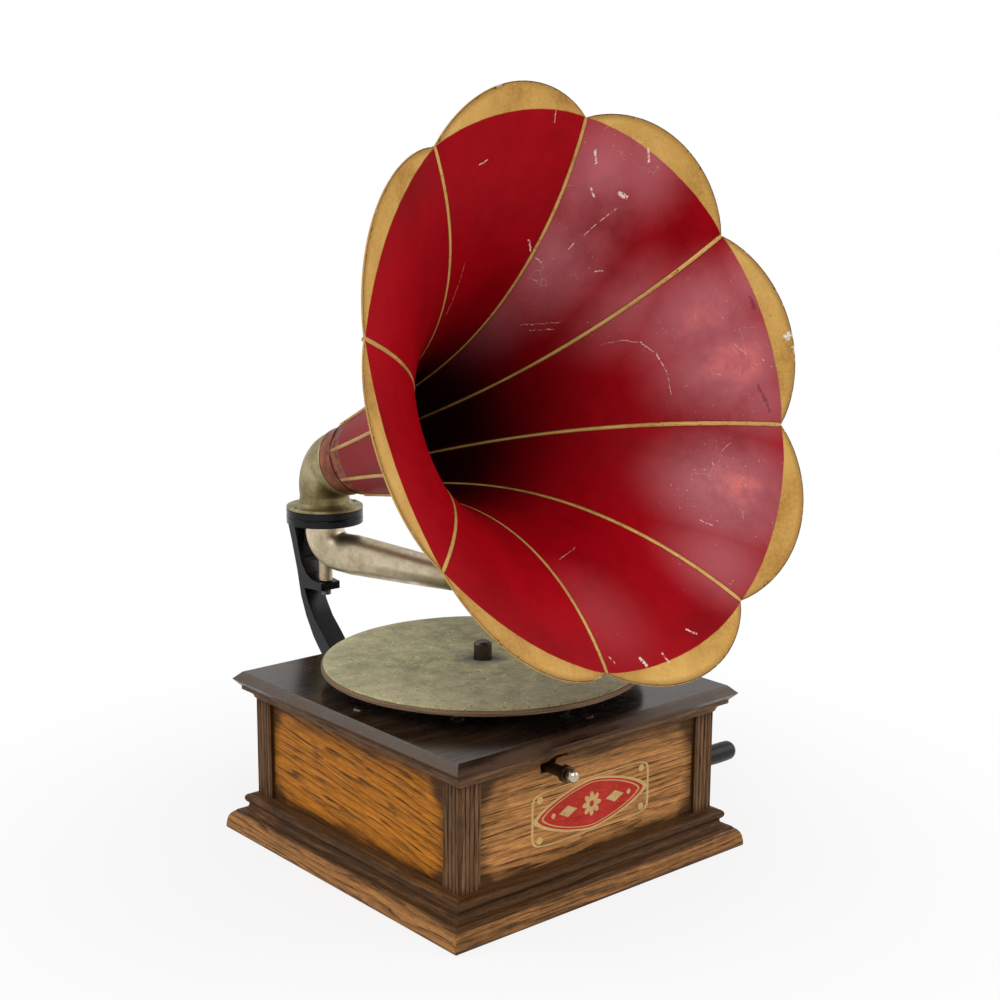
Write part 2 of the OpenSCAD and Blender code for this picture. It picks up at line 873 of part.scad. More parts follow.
module spindle() {
    color([0.35, 0.3, 0.27]) {
        translate([0, 0, motor_low_z])
            cylinder(h = hub_low_z - motor_low_z, r = spindle_low_r);
        translate([0, 0, hub_low_z])
            cylinder(h = spindle_pin_z - hub_low_z, r = spindle_hub_r);
        translate([0, 0, spindle_pin_z])
            cylinder(h = spindle_top - spindle_tip_h - spindle_pin_z, r = spindle_r);
        translate([0, 0, spindle_top - spindle_tip_h])
            cylinder(h = spindle_tip_h, r1 = spindle_r, r2 = spindle_r - spindle_tip_h);
    }
}

// Spur gear on a shaft, turned so that a tooth points along angle turn
module gear(m, n, t, bore, turn, play = 0.35) {
    difference() {
        rotate([0, 0, turn])
            linear_extrude(t)
                polygon(gear_outline(m, n, play));
        translate([0, 0, -1])
            cylinder(h = t + 2, r = bore);
    }
}

// Round holes that lighten a wheel
module wheel_holes(count, ring, r, t) {
    for (i = [0:count - 1])
        rotate([0, 0, 360 * i / count])
            translate([ring, 0, -1])
                cylinder(h = t + 2, r = r);
}

module spindle_pinion() {
    color("silver")
        translate([0, 0, lay_wheel_z - pinion_over])
            gear(gear_m, spindle_pinion_n, gear_t + 2 * pinion_over, spindle_low_r + seat_gap,
                lay_dir_spindle + 180 + 180 / spindle_pinion_n, 0.9);
}

module governor_wheel() {
    color("burlywood")
        translate([0, 0, gov_z - gov_wheel_t / 2])
            difference() {
                cylinder(h = gov_wheel_t, r = gov_wheel_r - 1);
                translate([0, 0, -1])
                    cylinder(h = gov_wheel_t + 2, r = spindle_low_r + seat_gap);
            }
}

module layshaft() {
    color("silver")
        translate([lay_pos[0], lay_pos[1], motor_low_z])
            cylinder(h = motor_top_z + plate_t - motor_low_z, r = lay_r);
}

module layshaft_pinion() {
    color("silver")
        translate([lay_pos[0], lay_pos[1], great_z - pinion_over])
            gear(gear_m, lay_pinion_n, gear_t + 2 * pinion_over, lay_r + seat_gap, lay_dir_great + 180 / lay_pinion_n, 0.9);
}

module layshaft_wheel() {
    color("goldenrod")
        translate([lay_pos[0], lay_pos[1], lay_wheel_z])
            difference() {
                gear(gear_m, lay_wheel_n, gear_t, lay_r + seat_gap, lay_dir_spindle);
                wheel_holes(5, lay_wheel_r * 0.55, lay_wheel_r * 0.2, gear_t);
            }
}

module great_wheel() {
    color("goldenrod")
        translate([barrel_x, crank_y, great_z])
            gear(gear_m, great_n, gear_t, arbor_r + body_gap, lay_dir_great + 180);
}

wall = 1.5;

module spring_barrel() {
    color("burlywood")
        translate([barrel_x, crank_y, barrel_z])
            difference() {
                cylinder(h = barrel_h - wall, r = barrel_r);
                translate([0, 0, wall])
                    cylinder(h = barrel_h, r = barrel_r - wall);
                translate([0, 0, -1])
                    cylinder(h = wall + 2, r = arbor_r + fit);
            }
}

module barrel_cover() {
    color("gray")
        translate([barrel_x, crank_y, barrel_z + barrel_h - wall])
            difference() {
                cylinder(h = wall, r = barrel_r);
                translate([0, 0, -1])
                    cylinder(h = wall + 2, r = arbor_r + fit);
            }
}

// Coiled mainspring: a spiral ribbon from the barrel's wall towards the arbor
module mainspring() {
    turns = 6;
    steps = 20;
    r_out = barrel_r - wall - 0.3;
    r_in = 13;
    ribbon = 0.9;
    spiral = [for (i = [0:turns * steps]) [360 * i / steps, mix(r_out, r_in, i / (turns * steps))]];
    outer = [for (p = spiral) p[1] * [cos(p[0]), sin(p[0])]];
    inner = [for (i = [len(spiral) - 1:-1:0]) (spiral[i][1] - ribbon) * [cos(spiral[i][0]), sin(spiral[i][0])]];
    color("lightsteelblue")
        translate([barrel_x, crank_y, barrel_z + wall + 0.3])
            linear_extrude(barrel_h - 2 * wall - 0.6)
                polygon(concat(outer, inner));
}

module barrel_arbor() {
    color("silver")
        translate([barrel_x, crank_y, motor_low_z])
            cylinder(h = motor_top_z + plate_t - motor_low_z, r = arbor_r);
}

// Crown wheel: its teeth stand up from the disc round its edge
module winding_wheel() {
    tooth_h = 2.2 * wind_m;
    root_z = wind_pitch_z - 1.25 * wind_m;
    mid = wind_pitch_z - root_z;
    step = 360 / wind_wheel_n;
    color("goldenrod")
        translate([barrel_x, crank_y, 0])
            difference() {
                union() {
                    translate([0, 0, root_z - wind_t])
                        cylinder(h = wind_t, r = wind_wheel_r + wind_tooth_w / 2);
                    for (i = [0:wind_wheel_n - 1])
                        rotate([0, 0, (i + 0.5) * step])
                            translate([wind_wheel_r - wind_tooth_w / 2, 0, root_z - 0.2])
                                rotate([90, 0, 90])
                                    linear_extrude(wind_tooth_w)
                                        polygon([
                                            [-1.3, 0], [1.3, 0], [0.8, mid], [0.35, tooth_h - 0.3],
                                            [-0.35, tooth_h - 0.3], [-0.8, mid]
                                        ]);
                }
                translate([0, 0, root_z - wind_t - 1])
                    cylinder(h = wind_t + 10, r = arbor_r + seat_gap);
            }
}

module ratchet_wheel() {
    step = 360 / ratchet_n;
    teeth = [for (i = [0:ratchet_n - 1], k = [0, 1])
        (k == 0 ? ratchet_r : ratchet_r - 2.5) * [cos(i * step + k * 0.5), sin(i * step + k * 0.5)]];
    color("silver")
        translate([barrel_x, crank_y, ratchet_z])
            difference() {
                linear_extrude(ratchet_t)
                    polygon(teeth);
                translate([0, 0, -1])
                    cylinder(h = ratchet_t + 2, r = arbor_r + seat_gap);
            }
}

module ratchet_click() {
    color("silver")
        translate([click_pos[0], click_pos[1], 0]) {
            translate([0, 0, ratchet_z])
                linear_extrude(ratchet_t)
                    polygon([[-4, 3], [4, 3], [5, -3], [-1, -9.6], [-3, -9]]);
            translate([0, 0, ratchet_z + ratchet_t])
                cylinder(h = motor_top_z + plate_t - ratchet_z - ratchet_t, r = 2 + seat_gap - fit);
        }
}

// Crank: shaft, pinion, bent arm and turning grip
crank_x0 = barrel_x + wind_wheel_r - 4;
crank_out = 20;
crank_x1 = panel_h + crank_out;
crank_end = crank_x1 - 7;
crank_rod_r = 4.6;
crank_splay = 8;
crank_pin_r = 3;
crank_boss_in = 15;
crank_boss_l = 19;

module crank_shaft() {
    color("dimgray")
        translate([crank_x0, crank_y, crank_z])
            rotate([0, 90, 0])
                cylinder(h = crank_end - crank_x0, r = crank_d / 2);
}

module winding_pinion() {
    color("silver")
        translate([barrel_x + wind_wheel_r - wind_tooth_w / 2, crank_y, crank_z])
            rotate([0, 90, 0])
                gear(wind_m, wind_pinion_n, wind_tooth_w, crank_d / 2 + seat_gap, 0, 1.2);
}

function crank_offset() = crank_throw * [0, -cos(crank_rest), -sin(crank_rest)];

module crank_arm() {
    from = [crank_x1, crank_y, crank_z];
    to = from + crank_offset() + [crank_splay, 0, 0];
    color("dimgray") {
        along(from, to - from)
            cylinder(h = norm(to - from), r = crank_rod_r);
        difference() {
            translate(from - [crank_boss_in, 0, 0])
                rotate([0, 90, 0])
                    cylinder(h = crank_boss_l, r = crank_d / 2 + 2);
            translate(from - [crank_boss_in + 1, 0, 0])
                rotate([0, 90, 0])
                    cylinder(h = crank_boss_in + 1 - crank_x1 + crank_end, r = crank_d / 2 + seat_gap);
        }
        translate(to)
            sphere(r = crank_rod_r + 0.4);
        translate(to)
            rotate([0, 90, 0])
                cylinder(h = grip_len - 4, r = crank_pin_r);
    }
}

module crank_grip() {
    start = [crank_x1 + crank_splay, crank_y, crank_z] + crank_offset() + [crank_rod_r + 1, 0, 0];
    color([0.08, 0.08, 0.08])
        translate(start)
            rotate([0, 90, 0])
                rotate_extrude()
                    difference() {
                        polygon(concat(
                            [[0, 0], [grip_d * 0.36, 0], [grip_d * 0.42, 4], [grip_d / 2, grip_len * 0.6]],
                            arc([0, grip_len - grip_d / 2], grip_d / 2, 20, 90, 6)
                        ));
                        translate([0, -1])
                            square([crank_pin_r + fit, grip_len - 7]);
                    }
}

// Governor: shaft with its worm, sliding disc, three springs and weights
module governor_shaft() {
    color("silver")
        translate([gov_x, 0, gov_z])
            rotate([-90, 0, 0]) {
                translate([0, 0, gov_y0 - 2])
                    cylinder(h = gov_y1 - gov_y0 + 4, r = gov_r);
                translate([0, 0, -worm_l / 2])
                    cylinder(h = worm_l, r = worm_r - 0.2);
                translate([0, 0, gov_collar_y - 3])
                    cylinder(h = 6, r = gov_hub_r);
            }
}

module governor_disc() {
    color("silver")
        translate([gov_x, gov_disc_y, gov_z])
            rotate([-90, 0, 0])
                difference() {
                    union() {
                        translate([0, 0, -4])
                            cylinder(h = 8, r = gov_hub_r);
                        translate([0, 0, 2])
                            cylinder(h = 2, r = gov_disc_r);
                    }
                    translate([0, 0, -5])
                        cylinder(h = 12, r = gov_r + fit);
                }
}

gov_mid_y = (gov_collar_y + gov_disc_y) / 2;

module governor_springs() {
    span = (gov_disc_y - gov_collar_y) / 2;
    low = gov_hub_r + 0.1;
    high = low + gov_spring_t;
    bow = gov_weight_reach;
    color("lightsteelblue")
        translate([gov_x, gov_mid_y, gov_z])
            rotate([-90, 0, 0])
                for (k = [0:2])
                    rotate([0, 0, 120 * k])
                        translate([0, 3, 0])
                            rotate([90, 0, 0])
                                linear_extrude(6)
                                    polygon([
                                        [low, -span - 2], [high, -span - 2], [high, -span + 5],
                                        [bow, -5], [bow, 5], [high, span - 5], [high, span + 2],
                                        [low, span + 2], [low, span - 5], [bow - gov_spring_t, 5],
                                        [bow - gov_spring_t, -5], [low, -span + 5]
                                    ]);
}

module governor_weights() {
    color("goldenrod")
        translate([gov_x, gov_mid_y, gov_z])
            rotate([-90, 0, 0])
                for (k = [0:2])
                    rotate([0, 0, 120 * k])
                        translate([gov_weight_reach, 0, 0])
                            rotate([0, 90, 0])
                                cylinder(h = gov_weight_r, r1 = gov_weight_r + 1, r2 = gov_weight_r - 1);
}

// Friction lever over the disc, hung on a pin between the upper plate's two lugs
module governor_lever() {
    low = gov_z + gov_disc_r - 5;
    color("dimgray") {
        translate([gov_x - 2, gov_hinge_y - 1.5, low])
            cube([4, 3, motor_top_z - 0.4 - low]);
        translate([gov_x - 4.5, gov_hinge_y, gov_hinge_z])
            rotate([0, 90, 0])
                cylinder(h = 9, r = gov_hinge_r);
    }
}

// Front lever: rod with collar and ball, and its plate behind the panel
module brake_lever() {
    knob = [lever_x, lever_z];
    color("silver") {
        difference() {
            translate([0, brake_y1, 0])
                rotate([-90, 0, 0])
                    linear_extrude(brake_t)
                        union() {
                            hull() {
                                translate([lever_pivot[0], -lever_pivot[1]])
                                    circle(5, $fn = 32);
                                translate([knob[0], -knob[1]])
                                    circle(4, $fn = 32);
                            }
                            hull() {
                                translate([lever_pivot[0], -lever_pivot[1]])
                                    circle(5, $fn = 32);
                                translate([brake_rod_x, -lever_pivot[1] - 1])
                                    circle(3, $fn = 32);
                            }
                        }
            translate([lever_pivot[0], -panel_in - 2, lever_pivot[1]])
                rotate([-90, 0, 0])
                    cylinder(h = 12, r = lever_pin_r + fit);
        }
        translate([knob[0], brake_y1 + brake_t, knob[1]])
            rotate([90, 0, 0]) {
                reach = panel_h + lever_out + brake_y1 + brake_t;
                cylinder(h = reach - 9, r = lever_rod_r);
                translate([0, 0, reach - 13])
                    cylinder(h = 4, r = lever_collar_r);
                cylinder(h = reach - 6, r = 2.4);
                translate([0, 0, reach - lever_ball_r])
                    sphere(r = lever_ball_r);
            }
    }
}

module brake_rod() {
    low = lever_pivot[1] + 4.4;
    top = plate_z0 - body_gap;
    color("silver")
        translate([brake_rod_x, brake_rod_y, 0]) {
            translate([0, 0, low])
                cylinder(h = top - 3 - low, r = brake_rod_r);
            translate([0, 0, top - 3])
                cylinder(h = 3, r = 5);
        }
}

// Tone arm: from the ring down, round its corner and along to the thin end
arm_bend = 90 - arm_slope;
arm_bend_r = arm_bend_t / tan(arm_bend / 2);
arm_flat = [cos(arm_yaw), sin(arm_yaw), 0];
arm_side = [-sin(arm_yaw), cos(arm_yaw), 0];
arm_corner = [0, ring_y, corner_z];
arm_bend_c = arm_corner + arm_bend_r * arm_flat + [0, 0, arm_bend_t];
arm_wall = 1.6;

// Turning joint at the arm's end: a collar inside the arm and a sleeve inside the gooseneck
swivel_r = 5.4;
swivel_out = arm_end_r - arm_wall - 0.1;

module at_arm_end() {
    along(arm_corner + arm_len * arm_dir, arm_dir)
        rotate_extrude()
            children();
}

function arm_radius(s) = lookup(s, [
    [0, arm_r], [29, arm_r + 0.6], [84, 14.7], [arm_len, arm_end_r]
]);

function arm_bend_ring(t) =
    let (a = arm_bend * t, side = cos(a) * arm_flat + sin(a) * [0, 0, 1])
    [arm_bend_c - arm_bend_r * side, arm_side, side, arm_r, arm_r - arm_wall];

function arm_ring(s) =
    [arm_corner + s * arm_dir, arm_side, cross(arm_dir, arm_side), arm_radius(s), arm_radius(s) - arm_wall];

module tone_arm() {
    top = ring_top - run_gap;
    lip_z = top - arm_lip_t;
    upright = [for (p = [[top, arm_lip], [lip_z, arm_lip], [lip_z - 0.1, 0], [ring_z - 1, 0]])
        [[0, ring_y, p[0]], arm_side, arm_flat, arm_r + p[1], arm_r - arm_wall]];
    color([0.68, 0.64, 0.55]) {
        tube(concat(
            upright,
            [for (i = [0:7]) arm_bend_ring(i / 7)],
            [for (s = [29, 84, arm_len]) arm_ring(s)]
        ), 28);
        at_arm_end()
            polygon([[swivel_r, -8], [swivel_out, -8], [swivel_out, -0.2], [swivel_r, -0.2]]);
    }
}

// Lug under the corner that stands on the pivot screw
module tonearm_lug() {
    color("silver")
        difference() {
            translate([0, ring_y, pivot_top - 1])
                cylinder(h = 20, r = 6);
            translate([0, ring_y, pivot_top - 2])
                cylinder(h = 4, r1 = 3.6, r2 = 1.6);
            translate(arm_bend_c)
                rotate([0, 0, arm_yaw])
                    rotate([90, 0, 0])
                        rotate_extrude()
                            translate([arm_bend_r, 0])
                                circle(arm_r + seat_gap);
        }
}

// Places what is drawn in the arm's own frame: x along the arm, z up, at the arm's turning axis
module in_arm() {
    translate([0, ring_y, 0])
        rotate([0, 0, arm_yaw])
            children();
}

function arm_axis_z(x) = corner_z - x * tan(arm_slope);

module gooseneck() {
    x0 = arm_len * cos(arm_slope) + 0.4;
    p = [[x0, 0, arm_axis_z(x0)], [x0 + 16, 0, arm_axis_z(x0 + 16)], [box_x, 0, box_z], [box_x, box_back_y, box_z]];
    function path(t) = let (q = 1 - t)
        q * q * q * p[0] + 3 * q * q * t * p[1] + 3 * q * t * t * p[2] + t * t * t * p[3];
    function heading(t) = let (q = 1 - t)
        unit(q * q * (p[1] - p[0]) + 2 * q * t * (p[2] - p[1]) + t * t * (p[3] - p[2]));
    rings = [for (i = [0:8])
        let (t = i / 8, h = heading(t), side = unit(cross([0, 0, 1], h)))
        [path(t), side, cross(h, side), mix(arm_end_r, 7, t), mix(arm_end_r, 7, t) - 1.4]];
    color([0.68, 0.64, 0.55]) {
        in_arm()
            tube(rings, 20);
        at_arm_end()
            polygon([
                [swivel_r - 1.2, -10], [swivel_r - fit, -10], [swivel_r - fit, 0.2], [swivel_out, 0.2], [swivel_out, 4],
                [swivel_r - 1.2, 4]
            ]);
    }
}

module soundbox_housing() {
    color("silver")
        in_arm()
            translate([box_x, box_back_y - box_gap, box_z])
                rotate([90, 0, 0])
                    difference() {
                        cylinder(h = box_t, r = box_r);
                        translate([0, 0, 2])
                            cylinder(h = box_t, r = box_r - box_wall);
                        translate([0, 0, -1])
                            cylinder(h = 6, r = 5.5);
                    }
}

module soundbox_diaphragm() {
    color([0.85, 0.83, 0.75])
        in_arm()
            translate([box_x, box_back_y - box_gap - box_t + 3, box_z])
                rotate([90, 0, 0])
                    cylinder(h = 0.8, r = box_r - box_wall - seat_gap);
}

// Stylus bar with its needle
bar_y = box_back_y - box_t - 2.4;

chuck = [box_x + 3, bar_y - 1, box_z - box_r - 1];
needle_reach = (chuck[2] - needle_tip_z) / sin(needle_slope);

module at_chuck() {
    in_arm()
        translate(chuck)
            rotate([0, 90 + needle_slope, 0])
                children();
}

module stylus_bar() {
    color("silver") {
        difference() {
            union() {
                in_arm()
                    hull() {
                        translate([box_x, bar_y, box_z])
                            rotate([90, 0, 0])
                                cylinder(h = 2, r = 2.5, $fn = 24);
                        translate([chuck[0], bar_y, chuck[2]])
                            rotate([90, 0, 0])
                                cylinder(h = 2, r = 1.6, $fn = 24);
                    }
                at_chuck()
                    translate([0, 0, -3])
                        cylinder(h = 6, r = 2.4);
            }
            at_needle_screw()
                translate([0, 0, 0.4])
                    cylinder(h = 6, r = 0.8 + fit);
        }
        in_arm() {
            translate([box_x, bar_y + 2.6, box_z])
                rotate([90, 0, 0])
                    cylinder(h = 3, r = 1.5);
        }
        at_chuck()
            translate([0, 0, 2])
                cylinder(h = needle_reach - 2, r1 = 0.75, r2 = 0.2);
    }
}

module at_needle_screw() {
    at_chuck()
        rotate([90, 0, 0])
            children();
}

module needle_screw() {
    color("silver")
        at_needle_screw() {
            translate([0, 0, 0.8])
                cylinder(h = 2.5, r = 0.8);
            translate([0, 0, 3])
                cylinder(h = 3, r = 2.2);
        }
}

// Horn surface. t runs from the throat to the notches, f across a panel, lift is the distance off the inside
horn_run = horn_notch_s - horn_s0;
flare_total = horn_notch_r - throat_r - cone_slope * horn_run;

function seam_r(t) =
    throat_r + cone_slope * horn_run * t
    + flare_total * (0.886 * pow(t, 3.35) + 0.114 * pow(t, 14));

function petal(f) = pow(4 * f * (1 - f), 0.93);

function horn_sr(t, f) =
    let (w = petal(f), tt = pow(t, 5))
    [
        horn_s0 + horn_run * t + petal_ds * w * tt,
        seam_r(t) * (1 - 0.03 * w * (1 - tt)) + petal_dr * w * tt
    ];

function horn_normal(t, f) =
    let (d = unit(horn_sr(t + 0.01, f) - horn_sr(max(0, t - 0.01), f)))
    [-d[1], d[0]];

function horn_point(t, f, a, lift) =
    let (p = horn_sr(t, f) + lift * horn_normal(t, f))
    horn_o + p[0] * horn_n + p[1] * (cos(a) * horn_u + sin(a) * horn_v);

function horn_t_at(i) = 1 - pow(1 - i / horn_rows, 1.5);
function panel_angle(k) = horn_phase - 360 * k / (horn_panels * panel_steps);

module horn_bell() {
    around = horn_panels * panel_steps;
    rows = horn_rows + 1;
    points = [for (lift = [0, horn_t], i = [0:horn_rows], k = [0:around - 1])
        horn_point(horn_t_at(i), (k % panel_steps) / panel_steps, panel_angle(k), lift)];
    far = rows * around;
    faces = [
        for (i = [0:horn_rows - 1], j = [0:around - 1])
            let (k = (j + 1) % around, a = i * around, b = a + around)
            [a + j, b + j, b + k, a + k],
        for (i = [0:horn_rows - 1], j = [0:around - 1])
            let (k = (j + 1) % around, a = far + i * around, b = a + around)
            [a + k, b + k, b + j, a + j],
        for (j = [0:around - 1])
            let (k = (j + 1) % around)
            [j, k, far + k, far + j],
        for (j = [0:around - 1])
            let (k = (j + 1) % around, e = horn_rows * around)
            [far + e + j, far + e + k, e + k, e + j]
    ];
    color([0.55, 0.02, 0.08])
        polyhedron(points, faces, convexity = 8);
}

// A rib along the outside of each seam
rib_w = 3.2;
rib_h = 1.6;

module horn_rib(k) {
    a = horn_phase - 360 * k / horn_panels;
    across = -sin(a) * horn_u + cos(a) * horn_v;
    corners = [[-rib_w / 2, 0.06], [rib_w / 2, 0.06], [rib_w / 4, rib_h], [-rib_w / 4, rib_h]];
    points = [for (i = [0:horn_rows], c = corners)
        horn_point(horn_t_at(i), 0, a, horn_t + c[1]) + c[0] * across];
    faces = [
        for (i = [0:horn_rows - 1], j = [0:3])
            let (k = (j + 1) % 4)
            [4 * i + k, 4 * i + 4 + k, 4 * i + 4 + j, 4 * i + j],
        [0, 1, 2, 3],
        [4 * horn_rows + 3, 4 * horn_rows + 2, 4 * horn_rows + 1, 4 * horn_rows]
    ];
    polyhedron(points, faces, convexity = 4);
}

module horn_ribs() {
    color([0.72, 0.55, 0.28])
        for (k = [0:horn_panels - 1])
            horn_rib(k);
}

// Ferrule: sleeve in the elbow's mouth, shoulder, cone and bead
module horn_ferrule() {
    sleeve_r = throat_r * 0.965 - 0.3;
    color([0.45, 0.28, 0.2])
        translate(horn_o)
            multmatrix([
                [horn_u[0], horn_v[0], horn_n[0], 0],
                [horn_u[1], horn_v[1], horn_n[1], 0],
                [horn_u[2], horn_v[2], horn_n[2], 0],
                [0, 0, 0, 1]
            ])
                rotate_extrude()
                    polygon([
                        [25.6, 28.3], [26.9, 28.3], [26.9, ferrule_s0], [29, ferrule_s0], [throat_r - 0.3, ferrule_s1 - 4],
                        [throat_r + 1, ferrule_s1 - 3], [throat_r + 1.4, horn_s0 - 0.2],
                        [sleeve_r, horn_s0 - 0.2], [sleeve_r, ferrule_s1 + 4], [sleeve_r - 1.5, ferrule_s1 + 4],
                        [27.6, ferrule_s0 + 2]
                    ]);
}

bottom_board();
base_moulding();
front_panel();
back_panel();
left_panel();
right_panel();
corner_pilasters();
cornice_moulding();
top_board();
top_board_screws();
motor_top_plate();
motor_bottom_plate();
motor_pillars();
motor_bolts();
governor_bearings();
crank_bearing();
brake_bracket();
click_spring();
rear_bracket();
bracket_screws();
pivot_screw();
horn_elbow();
elbow_screws();
turntable_plate();
turntable_felt();
spindle();
spindle_pinion();
governor_wheel();
layshaft();
layshaft_pinion();
layshaft_wheel();
spring_barrel();
barrel_cover();
great_wheel();
mainspring();
barrel_arbor();
winding_wheel();
ratchet_wheel();
ratchet_click();
crank_shaft();
winding_pinion();
crank_arm();
crank_grip();
governor_shaft();
governor_disc();
governor_springs();
governor_weights();
governor_lever();
brake_lever();
brake_rod();
tone_arm();
tonearm_lug();
gooseneck();
soundbox_housing();
soundbox_diaphragm();
stylus_bar();
needle_screw();
horn_bell();
horn_ribs();
horn_ferrule();
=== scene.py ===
import math

import bmesh
import bpy
import numpy as np
from mathutils import Matrix, Vector


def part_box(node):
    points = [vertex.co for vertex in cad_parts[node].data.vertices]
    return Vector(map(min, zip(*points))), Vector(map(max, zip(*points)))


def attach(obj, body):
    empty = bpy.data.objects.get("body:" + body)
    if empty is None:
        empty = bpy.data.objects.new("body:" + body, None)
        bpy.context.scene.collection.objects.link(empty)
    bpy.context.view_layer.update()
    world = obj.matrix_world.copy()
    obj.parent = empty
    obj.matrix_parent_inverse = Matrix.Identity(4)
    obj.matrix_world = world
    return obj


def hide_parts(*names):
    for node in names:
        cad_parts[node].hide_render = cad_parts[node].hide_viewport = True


bl_info = {
    "name": "Horn gramophone",
    "version": (1, 0, 0),
    "blender": (4, 5, 0),
    "location": "3D View > Sidebar > Gramophone",
    "description": "Dresses the table gramophone: oak case, felt, worn nickel and the painted horn",
    "category": "Add Mesh",
}

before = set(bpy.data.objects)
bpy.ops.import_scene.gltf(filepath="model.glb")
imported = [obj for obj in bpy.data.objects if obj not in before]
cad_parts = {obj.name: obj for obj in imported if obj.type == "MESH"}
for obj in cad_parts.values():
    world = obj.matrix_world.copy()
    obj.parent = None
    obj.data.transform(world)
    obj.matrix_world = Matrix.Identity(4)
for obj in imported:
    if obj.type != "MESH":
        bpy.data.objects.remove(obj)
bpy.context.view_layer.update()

MM = 0.001

# Case, in millimetres from the middle of its underside. X is right, Y is back, Z is up.
PANEL_HALF = 125.6
PILASTER_OUT = 128.6
PILASTER_W = 19.0
BOARD_HALF = PILASTER_OUT - PILASTER_W
REEDS = 4
REED_MARGIN = 1.5
DECK_Z = 120.6
CASE_H = 132.4
BASE_OUT = 147.9
BASE_H = 30.9
CORNICE_Z = 110.5
CORNICE_OUT = 136.9
MITRE_GAP = 0.05

# Turntable
TABLE_R = 127.0
PLATE_Z0 = 143.6
PLATE_Z1 = 147.6
HUB_Z = 137.6
HUB_R = 14.0
FELT_T = 1.5
FELT_INSET = 1.5
TABLE_SIDES = 192
SPINDLE_R = 7.15

# Bracket ring, and the corner where the elbow's two straight lines meet
RING_Y = 214.8
RING_TOP = 236.0
RING_R = 33.3
FLANGE_T = 2.5
ELBOW_CORNER = Vector((0.0, RING_Y, 271.2))
ELBOW_BEND = 24.0
ELBOW_R0 = 21.5
ELBOW_R1 = 28.0
FOOT_BORE = 19.5
MOUTH_BORE = 27.4
PIPE_WALL = 1.6
BEND_STEPS = 24

# Horn: its axis, and two cross directions in its own frame
HORN_TILT = math.radians(17.76)
HORN_TURN = math.radians(2.62)
HORN_AXIS = Vector((
    math.sin(HORN_TURN) * math.cos(HORN_TILT),
    -math.cos(HORN_TURN) * math.cos(HORN_TILT),
    math.sin(HORN_TILT),
))
HORN_RIGHT = Vector((math.cos(HORN_TURN), math.sin(HORN_TURN), 0.0))
HORN_UP = HORN_AXIS.cross(HORN_RIGHT)
HORN_PHASE = math.radians(121.3)
PETALS = 8
THROAT_S = 54.0
NOTCH_S = 339.0
THROAT_R = 31.2
NOTCH_R = 206.0
CONE_SLOPE = 0.17
PETAL_OUT = 16.2
PETAL_ON = 14.3
WALL = 1.2
FERRULE_S0 = 34.0
FERRULE_S1 = 56.0

# Tone arm
ARM_YAW = math.radians(-62)
ARM_SLOPE = math.radians(6.3)
ARM_R = 17.0
ARM_END_R = 8.2
ARM_LEN = 186.0
ARM_CORNER = Vector((0.0, RING_Y, 199.0))
ARM_BEND = 18.0
ARM_FLAT = Vector((math.cos(ARM_YAW), math.sin(ARM_YAW), 0.0))
ARM_SIDE = Vector((-math.sin(ARM_YAW), math.cos(ARM_YAW), 0.0))
ARM_DIR = Vector((
    math.cos(ARM_YAW) * math.cos(ARM_SLOPE),
    math.sin(ARM_YAW) * math.cos(ARM_SLOPE),
    -math.sin(ARM_SLOPE),
))
GOOSENECK_RUN = 16.0
GOOSENECK_R = 7.0
GOOSENECK_WALL = 1.4
BOX_X = 213.0
BOX_BACK_Y = -12.0
BOX_Z = 182.0
BOX_R = 23.5
BOX_T = 12.0

# Camera of the photograph
LENS_MM = 59.89
SENSOR_MM = 36.0
CAMERA_AT = Vector((-0.8143, -0.9634, 0.5318))
CAMERA_TURN = math.radians(-40.79)
CAMERA_RISE = math.radians(11.45)
CAMERA_ROLL = math.radians(0.36)


def paint(red, green, blue):
    """Linear RGBA of a colour that is written as 0 to 255."""
    parts = [channel / 255 for channel in (red, green, blue)]
    linear = [c / 12.92 if c <= 0.04045 else ((c + 0.055) / 1.055) ** 2.4 for c in parts]
    return (*linear, 1.0)


def as_colour(value):
    """Linear RGBA of a colour of three parts, written as 0 to 255. One of four parts is linear already."""
    return paint(*value) if len(value) == 3 else value


class Socket:
    """An output socket that takes part in Python sums."""

    def __init__(self, graph, link):
        self.graph = graph
        self.link = link

    def math(self, operation, *values):
        settings = {"operation": operation}
        return self.graph.add("ShaderNodeMath", dict(enumerate(values)), settings)

    def __add__(self, other):
        return self.math("ADD", self, other)

    __radd__ = __add__

    def __mul__(self, other):
        return self.math("MULTIPLY", self, other)

    __rmul__ = __mul__

    def __sub__(self, other):
        return self.math("SUBTRACT", self, other)

    def __rsub__(self, other):
        return self.math("SUBTRACT", other, self)

    def __truediv__(self, other):
        return self.math("DIVIDE", self, other)

    def __pow__(self, other):
        return self.math("POWER", self, other)

    def __neg__(self):
        return self.math("MULTIPLY", self, -1.0)

    def __abs__(self):
        return self.math("ABSOLUTE", self)

    def floor(self):
        return self.math("FLOOR", self)

    def fraction(self):
        return self.math("FRACT", self)

    def sine(self):
        return self.math("SINE", self)

    def cosine(self):
        return self.math("COSINE", self)

    def least(self, other):
        return self.math("MINIMUM", self, other)

    def most(self, other):
        return self.math("MAXIMUM", self, other)

    def ease(self, low, high):
        """0 below low and 1 above high, smooth between them. It falls where low is the larger."""
        values = {"Value": self, "From Min": low, "From Max": high}
        return self.graph.add("ShaderNodeMapRange", values, {"interpolation_type": "SMOOTHSTEP"})


